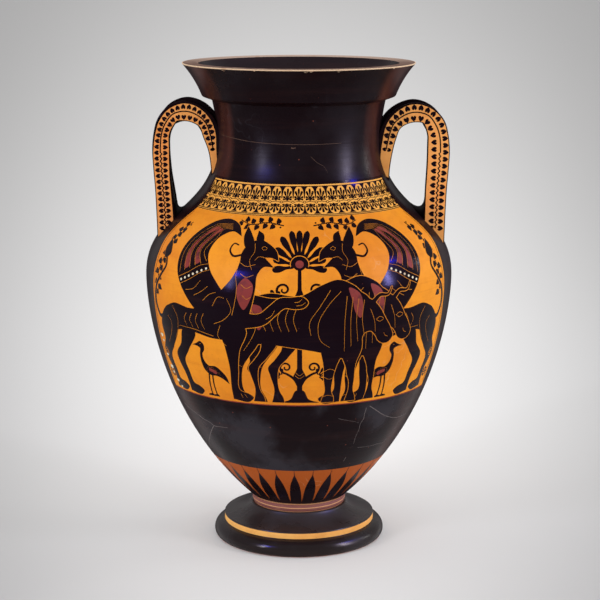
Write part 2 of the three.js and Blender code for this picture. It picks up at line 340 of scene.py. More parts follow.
class Surface:
    """Points and faces of one mesh in metres, with the shading normal of every face corner."""

    def __init__(self) -> None:
        """Starts with nothing."""
        self.points: list[Triple] = []
        self.faces: list[tuple[int, ...]] = []
        self.normals: list[Triple] = []

    def point(self, place: Triple) -> int:
        """Adds a point and returns its number."""
        self.points.append(place)
        return len(self.points) - 1

    def face(self, corners: Sequence[int], normals: Sequence[Triple]) -> None:
        """Adds a face, turned so that it faces the way that its normals point.

        Args:
            corners: Numbers of its points, in order.
            normals: Shading normal of each corner.
        """
        a, b, c = (self.points[corner] for corner in (corners[0], corners[1], corners[-1]))
        u, v, lean = [q - p for p, q in zip(a, b)], [q - p for p, q in zip(a, c)], 0.0
        for x, y, z in ((0, 1, 2), (1, 2, 0), (2, 0, 1)):
            lean += (u[y] * v[z] - u[z] * v[y]) * (normals[0][x] + normals[1][x] + normals[-1][x])
        if lean < 0:
            corners, normals = corners[::-1], normals[::-1]
        self.faces.append(tuple(corners))
        self.normals.extend(normals)

    def weave(self, rings: Sequence[Sequence[int]], normals: Sequence[Sequence[Triple]],
              closed: bool = True) -> None:
        """Joins rows of points into quads, or into triangles where two corners are one point.

        Args:
            rings: Numbers of each row's points.
            normals: Shading normal of each point, row by row.
            closed: Whether each row runs back to its first point.
        """
        count = len(rings[0])
        for low in range(len(rings) - 1):
            for index in range(count if closed else count - 1):
                beside = (index + 1) % count
                keys = [(low, index), (low, beside), (low + 1, beside), (low + 1, index)]
                corners = [rings[row][place] for row, place in keys]
                kept = [k for k in range(4) if corners[k] not in corners[:k]]
                if len(kept) > 2:
                    self.face([corners[k] for k in kept], [normals[keys[k][0]][keys[k][1]] for k in kept])

    def build(self, name: str, material: bpy.types.Material, slot: Slot | None,
              nodes: Iterable[str] = ()) -> None:
        """Makes the object, dresses it and lets it ride on the pot.

        Args:
            name: The piece's name.
            material: Its finish.
            slot: The record's slot that the finish follows, if it has one; not used.
            nodes: CAD nodes that it stands for.
        """
        mesh = bpy.data.meshes.new(name)
        mesh.from_pydata(self.points, [], self.faces)
        mesh.polygons.foreach_set("use_smooth", [True] * len(mesh.polygons))
        mesh.normals_split_custom_set(self.normals)
        mesh.materials.append(material)
        piece = bpy.data.objects.new(name, mesh)
        bpy.context.scene.collection.objects.link(piece)
        if nodes:
            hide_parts(*nodes)
        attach(piece, BODY)
        log.info("%s: %d faces", name, len(self.faces))


def turned(rows: Sequence[Row], columns: int, closed: bool = False) -> Surface:
    """Turns rows round the pot's axis.

    Args:
        rows: Radius, height and normal of each ring; two rows at one place make a sharp edge.
        columns: Faces round the pot.
        closed: Whether the last row joins the first.

    Returns:
        The turned surface.
    """
    surface = Surface()
    angles = [2 * math.pi * column / columns for column in range(columns)]
    rings: list[list[int]] = []
    for index, (radius, height, _, _) in enumerate(rows):
        if index and math.dist(rows[index - 1][:2], (radius, height)) < TOUCH:
            rings.append(rings[-1])
        elif radius < TOUCH:
            rings.append([surface.point((0.0, 0.0, height * MM))] * columns)
        else:
            rings.append([surface.point(around(radius, height, angle)) for angle in angles])
    normals = [[facing(*row[2:], angle) for angle in angles] for row in rows]
    if closed:
        rings.append(rings[0])
        normals.append(normals[0])
    surface.weave(rings, normals)
    return surface


class Layer(Surface):
    """A thin painted layer on the turned wall."""

    def __init__(self, lift: float) -> None:
        """Starts a layer of a thickness in millimetres.

        Args:
            lift: Its thickness in millimetres.
        """
        super().__init__()
        self.lift = lift
        self.tops: list[tuple[Row, float]] = []

    def lay(self, row: Row, angle: float) -> int:
        """Adds a point over the wall's row at an angle round the pot, and returns its number.

        Args:
            row: The wall's row.
            angle: The angle round the pot.

        Returns:
            The point's number.
        """
        top = raised(row, self.lift)
        self.tops.append((top, angle))
        return self.point(around(top[0], top[1], angle))

    def normal(self, number: int) -> Triple:
        """Gives the wall's direction at one of the layer's points."""
        row, angle = self.tops[number]
        return facing(*row[2:], angle)

    def patch(self, corners: Sequence[int]) -> None:
        """Adds a face that is shaded as the wall is."""
        self.face(corners, [self.normal(corner) for corner in corners])

    def skirt(self) -> None:
        """Closes the layer's open edges down into the clay below it."""
        edges: dict[tuple[int, int], None] = {}
        for corners in self.faces:
            for a, b in zip(corners, corners[1:] + corners[:1]):
                if (b, a) in edges:
                    del edges[b, a]
                else:
                    edges[a, b] = None
        lower: dict[int, int] = {}
        for a, b in edges:
            for top in (a, b):
                if top not in lower:
                    row, angle = self.tops[top]
                    lower[top] = self.point(around(*raised(row, -self.lift - SUNK)[:2], angle))
            self.faces.append((b, a, lower[a], lower[b]))
            here, there = self.normal(a), self.normal(b)
            self.normals.extend((there, here, here, there))


def ring(name: str, line: Profile, span: Point, material: bpy.types.Material, slot: Slot | None,
         columns: int, lift: float = SLIP, step: float = 1.0) -> None:
    """Lays a painted ring onto a turned wall.

    Args:
        name: The piece's name.
        line: The wall's profile.
        span: Lengths along the profile between which it lies.
        material: Its finish.
        slot: The record's slot.
        columns: Faces round the pot.
        lift: Its thickness in millimetres.
        step: Distance between its rows.
    """
    top = [raised(row, lift) for row in line.rows(*span, step)]
    start, end = (raised(line.at(length), -SUNK) for length in span)
    turned([start, *top, end], columns).build(name, material, slot)


# Drawing

@dataclass
class Figure:
    """A motif in black gloss: silhouettes, incised lines, and red and white laid over the black."""

    fills: list[Outline] = field(default_factory=list)
    cuts: list[Outline] = field(default_factory=list)
    reds: list[Outline] = field(default_factory=list)
    whites: list[Outline] = field(default_factory=list)
    halo: float = 0.8
    incision: float = 0.58

    def fill(self, *points: tuple) -> None:
        """Adds a silhouette through points."""
        self.fills.append(smooth(points))

    def limb(self, points: Sequence[tuple], width: float, end_width: float) -> None:
        """Adds a tapering stroke of black."""
        self.fills.append(stroke(points, width, end_width))

    def cut(self, *points: tuple) -> None:
        """Adds an incised line."""
        self.cuts.append(stroke(points, self.incision, self.incision * 0.7))

    def red(self, *points: tuple) -> None:
        """Adds a patch of red."""
        self.reds.append(smooth(points))

    def placed(self, x: float, y: float, scale: float = 1.0, flip: bool = False) -> "Figure":
        """Gives a copy of the figure at another place.

        Args:
            x: Where its origin goes.
            y: Where its origin goes.
            scale: Its size against the drawing's.
            flip: Whether it faces the other way.

        Returns:
            The copy.
        """
        side = -scale if flip else scale
        parts = [[[(a * side + x, b * scale + y) for a, b in outline] for outline in part]
                 for part in (self.fills, self.cuts, self.reds, self.whites)]
        return Figure(*parts, halo=self.halo)


def bull(tail: bool = True) -> Figure:
    """Draws a grazing bull that faces right, with or without its hanging tail.

    Args:
        tail: Whether its hanging tail shows.

    Returns:
        The bull.
    """
    figure = Figure()
    figure.fill((-40, 92), (-46, 70), (-54, 58), (-62, 47), (-60, 38), (-56, 16), (-58, 6), (-60, 0, SHARP),
                (-44, 0, SHARP), (-45, 7), (-49, 15), (-51, 36), (-49, 48), (-38, 62), (-26, 84))
    figure.fill((46, 84), (52, 62), (58, 47), (60, 38), (63, 30), (64, 14), (62, 5), (61, 0, SHARP),
                (76, 0, SHARP), (74, 7), (71, 14), (70, 32), (70, 52), (76, 74), (72, 92))
    figure.fill((-84, 130), (-60, 141), (-28, 138), (4, 142), (26, 154), (46, 160), (64, 152), (78, 138),
                (90, 130), (96, 123), (105, 108), (113, 95), (117, 84), (112, 77), (104, 76), (97, 80),
                (92, 88), (85, 94), (78, 92), (74, 80), (66, 66), (56, 60), (44, 64), (24, 70), (-6, 76),
                (-38, 80), (-56, 80), (-70, 82), (-86, 92), (-93, 112))
    figure.fill((-93, 112), (-92, 92), (-86, 70), (-84, 54), (-88, 45), (-83, 36), (-80, 16), (-83, 5),
                (-84, 0, SHARP), (-66, 0, SHARP), (-68, 7), (-72, 15), (-72, 36), (-69, 48), (-60, 62),
                (-50, 76), (-40, 98), (-60, 120))
    figure.fill((22, 96), (26, 70), (30, 50), (31, 33), (33, 14), (30, 5), (29, 0, SHARP), (46, 0, SHARP),
                (45, 7), (42, 14), (42, 32), (46, 52), (54, 70), (62, 90), (50, 110))
    if tail:
        figure.limb([(-84, 128), (-96, 124), (-101, 104), (-100, 76), (-104, 56)], 4.2, 2.6)
        figure.fill((-103, 62), (-109, 48), (-110, 34), (-104, 22, SHARP), (-99, 36), (-99, 50))
    figure.limb([(88, 131), (96, 138), (107, 138), (113, 147)], 5.5, 1.0)
    figure.fill((84, 130), (80, 138), (72, 144, SHARP), (74, 134), (78, 126))
    figure.cut((92, 108), (97, 111), (102, 108), (97, 105), (92, 108))
    figure.cut((110, 84), (106, 86), (104, 90))
    figure.cut((84, 122), (90, 106), (92, 92))
    for fold in range(4):
        figure.cut((76 - 7 * fold, 134 + 2 * fold), (74 - 7 * fold, 112 - fold),
                   (78 - 8 * fold, 88 - 6 * fold))
    figure.cut((48, 146), (34, 130), (22, 104), (26, 84), (36, 76))
    figure.cut((36, 148), (24, 128), (12, 106), (14, 92))
    for rib in range(5):
        figure.cut((-2 - 9 * rib, 128 - rib), (-6 - 9 * rib, 112), (-2 - 9 * rib, 97))
    figure.cut((-62, 132), (-52, 118), (-50, 100), (-58, 82), (-66, 70))
    figure.cut((-74, 116), (-66, 106), (-66, 92), (-74, 82))
    figure.cut((31, 44), (38, 47), (45, 44))
    figure.cut((31, 36), (38, 33), (44, 36))
    figure.cut((-86, 46), (-78, 50), (-70, 48))
    figure.cut((30, 8), (38, 10), (45, 8))
    figure.cut((-83, 8), (-75, 10), (-68, 8))
    figure.red((58, 150), (70, 143), (74, 132), (71, 112), (66, 118), (62, 132))
    figure.red((-60, 128), (-44, 128), (-40, 112), (-46, 98), (-53, 108), (-56, 120))
    return figure


def griffin(pawing: bool = True) -> Figure:
    """Draws a griffin with a sickle wing that faces right, with one foreleg raised or on the ground.

    Args:
        pawing: Whether one foreleg is raised.

    Returns:
        The griffin.
    """
    figure = Figure()
    figure.limb([(-64, 98), (-78, 94), (-86, 106), (-84, 130), (-72, 146), (-63, 160), (-70, 174)], 5.0, 3.0)
    figure.fill((-70, 168), (-79, 178), (-78, 194, SHARP), (-68, 186), (-62, 174))
    figure.fill((-30, 86), (-38, 66), (-52, 48), (-50, 38), (-44, 24), (-42, 12), (-42, 0, SHARP), (-18, 0),
                (-14, 5), (-20, 10), (-30, 13), (-34, 28), (-37, 42), (-26, 58), (-10, 84))
    figure.fill((-64, 104), (-44, 116), (-14, 114), (10, 118), (30, 130), (50, 124), (60, 108), (56, 92),
                (42, 82), (18, 80), (-10, 84), (-34, 84), (-52, 80), (-70, 88))
    figure.fill((-70, 100), (-78, 84), (-76, 66), (-86, 46), (-80, 34), (-74, 22), (-74, 10), (-76, 0, SHARP),
                (-50, 0), (-45, 5), (-51, 10), (-62, 13), (-65, 26), (-68, 42), (-56, 58), (-42, 78),
                (-36, 100), (-52, 112))
    figure.fill((26, 100), (32, 70), (35, 44), (33, 14), (33, 0, SHARP), (58, 0), (62, 5), (56, 10), (46, 13),
                (46, 40), (50, 66), (60, 96), (44, 112))
    if pawing:
        figure.fill((46, 98), (64, 98), (82, 103), (96, 116), (106, 124), (116, 123), (127, 125), (131, 131),
                    (126, 137), (112, 137), (100, 136), (88, 126), (76, 116), (62, 116), (48, 120))
        figure.cut((118, 127), (124, 128), (128, 131))
        figure.cut((116, 131), (121, 132), (124, 135))
        figure.cut((84, 110), (90, 114), (94, 121))
    else:
        figure.fill((46, 96), (58, 70), (66, 46), (68, 14), (68, 0, SHARP), (92, 0), (96, 5), (90, 10),
                    (80, 13), (78, 44), (72, 72), (66, 96))
    figure.fill((44, 112), (40, 130), (26, 148), (12, 166), (4, 188), (10, 208), (26, 218), (42, 212, SHARP),
                (32, 228), (12, 236), (-14, 230), (-34, 210), (-42, 184), (-38, 158), (-24, 134), (-4, 112),
                (20, 98))
    figure.fill((14, 118), (30, 140), (44, 158), (50, 176), (50, 190), (58, 204), (72, 208), (84, 202),
                (94, 192), (97, 180, SHARP), (88, 184), (80, 184, SHARP), (92, 172, SHARP), (80, 172),
                (74, 164), (72, 146), (68, 126), (60, 106), (40, 100))
    figure.fill((54, 196), (46, 210), (46, 228, SHARP), (56, 216), (62, 204))
    figure.fill((66, 206), (64, 222, SHARP), (73, 216), (74, 205))
    figure.limb([(50, 186), (40, 184), (33, 192), (36, 201), (43, 199)], 3.0, 1.6)
    figure.cut((80, 184), (73, 185), (68, 180))
    figure.cut((74, 197), (78, 199), (81, 196), (77, 194), (74, 197))
    figure.cut((64, 203), (66, 192), (62, 180), (66, 168))
    for scale in range(4):
        height = 176 - 13 * scale
        figure.cut((51 + 2 * scale, height), (59 + scale, height - 4), (70 - scale, height - 1))
    figure.cut((44, 112), (48, 128), (50, 146), (48, 160), (50, 178))
    figure.cut((20, 99), (34, 106), (43, 118), (38, 132))
    figure.cut((-30, 142), (-14, 150), (2, 160), (13, 164))
    figure.cut((-34, 150), (-18, 158), (-2, 168), (9, 171))
    for feather in range(6):
        share = feather / 5
        figure.cut((-33 + 38 * share, 156 + 18 * share), (-36 + 33 * share, 186 - share),
                   (-27 + 33 * share, 208), (-6 + 16 * share, 226 - 6 * share),
                   (20 + 4 * share, 229 - 8 * share))
    for covert in range(4):
        figure.cut((-20 + 13 * covert, 136 - 5 * covert), (-8 + 12 * covert, 139 - 2 * covert),
                   (2 + 11 * covert, 150 - 6 * covert))
    figure.cut((28, 98), (24, 84), (34, 72))
    for rib in range(4):
        figure.cut((6 - 9 * rib, 110 - rib), (2 - 9 * rib, 100), (6 - 9 * rib, 90))
    figure.cut((-46, 112), (-38, 98), (-40, 84), (-48, 70))
    figure.cut((-58, 98), (-52, 88), (-56, 76), (-66, 62))
    for heel in (33, -76):
        figure.cut((heel + 17, 9), (heel + 20, 4))
        figure.cut((heel + 12, 9), (heel + 14, 3))
    figure.cut((18, 83), (-10, 88), (-36, 89))
    for dot in range(7):
        share = (dot + 0.6) / 7.2
        figure.whites.append(disc(-32 + 43 * share, 145.8 + 20.8 * share, 1.5, 10))
    for near, far in ((0.2, 0.4), (0.6, 0.8)):
        figure.red((-31 + 38 * near, 158 + 18 * near), (-34.5 + 33 * near, 186 - near),
                   (-25 + 33 * near, 207), (-5 + 16 * near, 224 - 6 * near),
                   (-5 + 16 * far, 224.6 - 6 * far), (-28 + 33 * far, 208),
                   (-37 + 33 * far, 186 - far), (-35 + 38 * far, 157 + 18 * far))
    figure.red((52, 150), (60, 158), (68, 152), (66, 132), (58, 120), (52, 130))
    return figure


def heron() -> Figure:
    """Draws a heron that faces right.

    Returns:
        The heron.
    """
    figure = Figure(incision=0.45)
    figure.fill((-22, 56), (-8, 66), (8, 66), (16, 74), (18, 88), (12, 98), (12, 108), (20, 114), (27, 110),
                (40, 104, SHARP), (28, 103), (22, 100), (24, 88), (24, 70), (18, 54), (6, 46), (-8, 46),
                (-20, 42), (-34, 32, SHARP), (-30, 46))
    figure.limb([(2, 50), (4, 26), (2, 3)], 3.4, 2.6)
    figure.limb([(10, 50), (14, 26), (14, 3)], 3.4, 2.6)
    figure.fill((-2, 4), (10, 3, SHARP), (10, 0, SHARP), (-4, 0, SHARP))
    figure.fill((11, 4), (24, 3, SHARP), (24, 0, SHARP), (9, 0, SHARP))
    figure.cut((12, 62), (0, 62), (-12, 54), (-24, 42))
    figure.cut((8, 58), (-4, 56), (-16, 47))
    figure.cut((12, 62), (14, 54), (8, 48))
    figure.cuts.append(disc(20, 108.5, 0.9, 8))
    figure.red((8, 60), (0, 59.5), (-10, 53), (-8, 50), (2, 53), (8, 55))
    return figure


def flying_bird() -> Figure:
    """Draws a bird in flight that faces right.

    Returns:
        The bird.
    """
    figure = Figure(incision=0.5)
    figure.fill((-34, 4, SHARP), (-18, 6), (-4, 10), (12, 10), (20, 14), (27, 14), (36, 9, SHARP), (28, 7),
                (18, 2), (4, -4), (-12, -3), (-34, -6, SHARP), (-28, -1, SHARP))
    figure.fill((8, 6), (2, 18), (-10, 30), (-28, 38, SHARP), (-28, 26), (-24, 14), (-12, 4))
    figure.fill((10, 2), (14, -10), (10, -22), (-4, -34, SHARP), (-6, -22), (-8, -10), (-4, 0))
    for feather in range(4):
        figure.cut((2 - 3 * feather, 8), (-4 - 4 * feather, 18 - feather),
                   (-16 - 3 * feather, 29 - 3 * feather))
        figure.cut((8 - 3 * feather, -2), (9 - 4 * feather, -12), (2 - 2 * feather, -24 + 3 * feather))
    figure.cuts.append(disc(26, 11, 0.9, 8))
    return figure


GROUND = 5.0  # height above the panel's edge at which the animals stand
LEAF_STEP = 6.0  # distance along a branch from one leaf to the next
LEAF_SIZE = 10.5
PETAL = ((0, 0.18), (0.35, 0.42), (0.75, 0.95), (0.93, 0.72), (1, 0))  # along and across, as shares


def palmette(petals: int, reach: Point, inner: float, spread: float, width: float) -> list[Outline]:
    """Outlines a fan of drop-shaped petals that points up from the origin.

    Args:
        petals: How many.
        reach: Length of a petal that points sideways, and of one that points up.
        inner: Where the petals start.
        spread: Angle from the middle petal to the last one, in degrees.
        width: Width of a petal.

    Returns:
        The petals' outlines.
    """
    sides = [*PETAL, *((along, -across) for along, across in PETAL[-2::-1])]
    fans = []
    for index in range(petals):
        share = 2 * index / (petals - 1) - 1
        lean = math.radians(spread) * share * abs(share) ** 0.25
        length = (abs(math.sin(lean) / reach[0]) ** 3 + abs(math.cos(lean) / reach[1]) ** 3) ** (-1 / 3)
        drop = []
        for along, across in sides:
            out = inner + (length - inner) * along
            wide = across * width / 2
            drop.append((out * math.sin(lean) + wide * math.cos(lean),
                         out * math.cos(lean) - wide * math.sin(lean)))
        fans.append(smooth(drop, step=0.8))
    return fans


def moved(outlines: Iterable[Outline], x: float, y: float, turn: float = 0.0,
          tall: float = 1.0) -> list[Outline]:
    """Turns outlines clockwise by an angle in degrees, stretches them in height and moves them."""
    c, s = math.cos(math.radians(turn)), math.sin(math.radians(turn))
    return [[(a * c + b * s + x, (b * c - a * s) * tall + y) for a, b in outline] for outline in outlines]


def vine(points: Sequence[Point]) -> Figure:
    """Draws a thin branch with leaves on both sides and berries between them.

    Args:
        points: The branch's line.

    Returns:
        The branch.
    """
    figure = Figure(halo=0.0)
    figure.limb(points, 1.7, 1.0)
    line = smooth(points, closed=False, step=LEAF_STEP)
    for index in range(1, len(line) - 1):
        (x, y), (a, b) = line[index], line[index + 1]
        along = math.degrees(math.atan2(a - x, b - y))
        side = 1 if index % 2 else -1
        lean = math.radians(along + 58 * side)
        leaf = [(0.06, 0.0), (0.08, 0.22), (0.3, 0.26), (0.38, 0.5), (0.24, 0.78), (0, 1.08, SHARP)]
        sides = leaf + [(-spot[0], spot[1]) for spot in leaf[-2::-1]]
        blade = smooth([(spot[0] * LEAF_SIZE, spot[1] * LEAF_SIZE, *spot[2:]) for spot in sides], step=0.9)
        figure.fills += moved([blade], x, y, math.degrees(lean))
        figure.fills.append(disc(x - 4.2 * math.sin(lean), y - 4.2 * math.cos(lean), 1.4, 8))
    return figure


def plant() -> Figure:
    """Draws a tree: a stem with paired volutes and small fans, crowned by a palmette.

    Returns:
        The tree.
    """
    figure = Figure()
    figure.limb([(0, 0), (0, 60), (0, 120), (0, 176)], 7, 4)
    figure.fill((-26, 0, SHARP), (-12, 5), (-4, 18), (4, 18), (12, 5), (26, 0, SHARP))
    for level, size in ((40, 0.82), (138, 0.9)):
        for side in (-1, 1):
            figure.limb([(0, level - 22 * size), (side * 9 * size, level - 6 * size),
                         (side * 20 * size, level + 2 * size)], 5 * size, 3.4 * size)
            figure.fills.append(spiral(side * 20 * size, level + 12 * size, side * 1.35,
                                       (10 * size, 1.6 * size), (3.4 * size, 2.0 * size)))
            fan = palmette(5, (12 * size, 17 * size), 3 * size, 62, 5 * size)
            figure.fills += moved(fan, side * 27 * size, level - 3 * size, 58 * side)
        figure.fill((-9 * size, level - 4), (-4, level + 6), (0, level + 15), (4, level + 6),
                    (9 * size, level - 4), (0, level - 9))
        figure.cut((-7 * size, level - 1), (0, level - 5), (7 * size, level - 1))
        figure.cut((-6 * size, level + 3), (0, level - 1), (6 * size, level + 3))
    figure.fills += moved(palmette(11, (32, 50), 7, 100, 9), 0, 178)
    figure.fills.append(disc(0, 180, 8, 24))
    figure.reds.append(disc(0, 180, 5, 18))
    figure.cuts.append(stroke([polar(math.pi * k / 10, 11, 0, 180) for k in range(-1, 12)], 1.0))
    return figure


def rosette(x: float, y: float, radius: float) -> Figure:
    """Draws a rosette of dots.

    Args:
        x: Its middle.
        y: Its middle.
        radius: Its reach.

    Returns:
        The rosette.
    """
    figure = Figure(fills=[disc(x, y, radius * 0.32)])
    for petal in range(8):
        figure.fills.append(disc(*polar(math.pi * petal / 4, radius * 0.74, x, y), radius * 0.24, 10))
    return figure


def front_scene() -> list[Figure]:
    """Lays out the front panel from back to front: two bulls between two griffins, under branches.

    Returns:
        The figures.
    """
    dots = [(-205, 24, 7), (205, 24, 7), (-205, 52, 5), (205, 52, 5)]
    upper = [(22, 240), (48, 244), (74, 240), (92, 246)]
    outer = [(184, 232), (196, 214), (195, 190), (203, 160), (202, 128)]
    vines = [vine([(side * x, y) for x, y in branch]) for side in (-1, 1) for branch in (upper, outer)]
    return vines + [
        plant().placed(1, GROUND, 1.0),
        heron().placed(-114, GROUND, 0.66, True), heron().placed(108, GROUND, 0.66),
        griffin(False).placed(123, GROUND, 1.02, True), bull(False).placed(26, GROUND, 1.02),
        bull(False).placed(0, GROUND, 1.0), griffin().placed(-123, GROUND, 1.02),
    ] + [rosette(*dot) for dot in dots]


def back_scene() -> list[Figure]:
    """Lays out the back panel from back to front: two bulls at a tree, with birds above.

    Returns:
        The figures.
    """
    dots = [(198, 176, 7), (66, 184, 7), (80, 220, 5)]
    figures = []
    for side in (-1, 1):
        right = side > 0
        figures.append(vine([(side * 40, 236), (side * 90, 240), (side * 150, 238), (side * 204, 226)]))
        figures.append(heron().placed(side * 118, GROUND, 0.54, right))
        figures.append(bull().placed(side * 114, GROUND, 0.9, right))
        figures.append(flying_bird().placed(side * 124, 190, 1.1, right))
        figures += [rosette(side * x, y, radius) for x, y, radius in dots]
    return figures + [plant().placed(0, GROUND)]


def inside(outline: Outline, spots: np.ndarray) -> np.ndarray:
    """Finds which spots lie inside an outline, also where it winds over itself.

    Args:
        outline: The closed outline.
        spots: Rows of x and y.

    Returns:
        Numbers of the rows that lie inside.
    """
    line = np.array(outline)
    low, high = line.min(axis=0), line.max(axis=0)
    near = np.nonzero(np.all((spots > low) & (spots < high), axis=1))[0]
    if len(near) == 0:
        return near
    x, y = spots[near, 0][:, None], spots[near, 1][:, None]
    ax, ay = line[:, 0][None, :], line[:, 1][None, :]
    bx, by = np.roll(line[:, 0], -1)[None, :], np.roll(line[:, 1], -1)[None, :]
    side = (bx - ax) * (y - ay) - (x - ax) * (by - ay)
    rising, falling = (ay <= y) & (by > y) & (side > 0), (ay > y) & (by <= y) & (side < 0)
    return near[rising.sum(axis=1) != falling.sum(axis=1)]


@dataclass
class Canvas:
    """A stretch of the wall laid flat for painting: x runs round the pot and y up along the wall."""

    wall: Profile
    base: float  # length along the wall where y is 0
    girth: float  # radius at which x is true
    window: Outline  # what may be painted
    facing: float = 0.0  # angle round the pot where x is 0
    grid: float = 6.0  # spacing of the points that let large fills follow the curve
    lift: float = SLIP  # of the black over the clay
    relief: float = 0.04  # of red and white over the black
    merge: float = 1e-4  # distance below which points of two outlines become one

    def triangles(self, outlines: list[Outline]) -> tuple[list[Point], list[tuple[int, ...]]]:
        """Cuts the canvas into triangles along every outline.

        Args:
            outlines: The drawing's outlines.

        Returns:
            The points and the triangles.
        """
        spots: list[Vector] = []
        edges: list[tuple[int, int]] = []
        for outline in [self.window, *outlines]:
            first, count = len(spots), len(outline)
            spots += map(Vector, outline)
            edges += [(first + k, first + (k + 1) % count) for k in range(count)]
        low, high = np.array(self.window).min(axis=0), np.array(self.window).max(axis=0)
        columns, levels = (range(1, int(side)) for side in (high - low) / self.grid)
        spots += [Vector((low[0] + column * self.grid, low[1] + level * self.grid))
                  for column in columns for level in levels]
        points, _, faces, *_ = delaunay_2d_cdt(spots, edges, [], 0, self.merge)
        return [(spot.x, spot.y) for spot in points], faces

    def paint(self, figures: list[Figure]) -> dict[Ink, Layer]:
        """Paints figures from back to front, each with a thin bare line round it.

        Args:
            figures: The figures, the furthest first.

        Returns:
            One layer for each ink that was used.
        """
        layers: list[tuple[Outline, Ink]] = []
        for figure in figures:
            halo = [grown(outline, figure.halo) for outline in figure.fills if figure.halo > 0]
            for outlines, ink in ((halo, Ink.BARE), (figure.fills, Ink.BLACK), (figure.reds, Ink.RED),
                                  (figure.whites, Ink.WHITE), (figure.cuts, Ink.BARE)):
                layers += [(outline, ink) for outline in outlines]
        points, faces = self.triangles([outline for outline, _ in layers])
        places = np.array(points)
        middles = places[np.array(faces)].mean(axis=1)
        inks = np.full(len(faces), Ink.BARE.value)
        for outline, ink in layers:
            hit = inside(outline, middles)
            if ink in (Ink.RED, Ink.WHITE):
                hit = hit[inks[hit] != Ink.BARE.value]
            inks[hit] = ink.value
        inks[np.setdiff1d(np.arange(len(faces)), inside(self.window, middles))] = Ink.BARE.value
        return {
            ink: self.layer(points, [faces[k] for k in np.nonzero(inks == ink.value)[0]], ink)
            for ink in (Ink.BLACK, Ink.RED, Ink.WHITE) if np.any(inks == ink.value)
        }

    def layer(self, points: list[Point], faces: list[tuple[int, ...]], ink: Ink) -> Layer:
        """Lays triangles of one ink onto the wall, with edges that reach down into the clay.

        Args:
            points: The flat points.
            faces: The triangles.
            ink: What they are painted with.

        Returns:
            The layer.
        """
        layer = Layer(self.lift + (0 if ink is Ink.BLACK else self.relief))
        numbers: dict[int, int] = {}
        for face in faces:
            for spot in face:
                if spot not in numbers:
                    x, y = points[spot]
                    numbers[spot] = layer.lay(self.wall.at(self.base + y), self.facing + x / self.girth)
            layer.patch([numbers[spot] for spot in face])
        layer.skirt()
        return layer


# Finishes

def srgb(red: int, green: int, blue: int) -> Triple:
    """Turns a colour as it is seen, 0 to 255, into the linear values that shaders take."""
    shares = (red / 255, green / 255, blue / 255)
    return tuple(c / 12.92 if c <= 0.04045 else ((c + 0.055) / 1.055) ** 2.4 for c in shares)


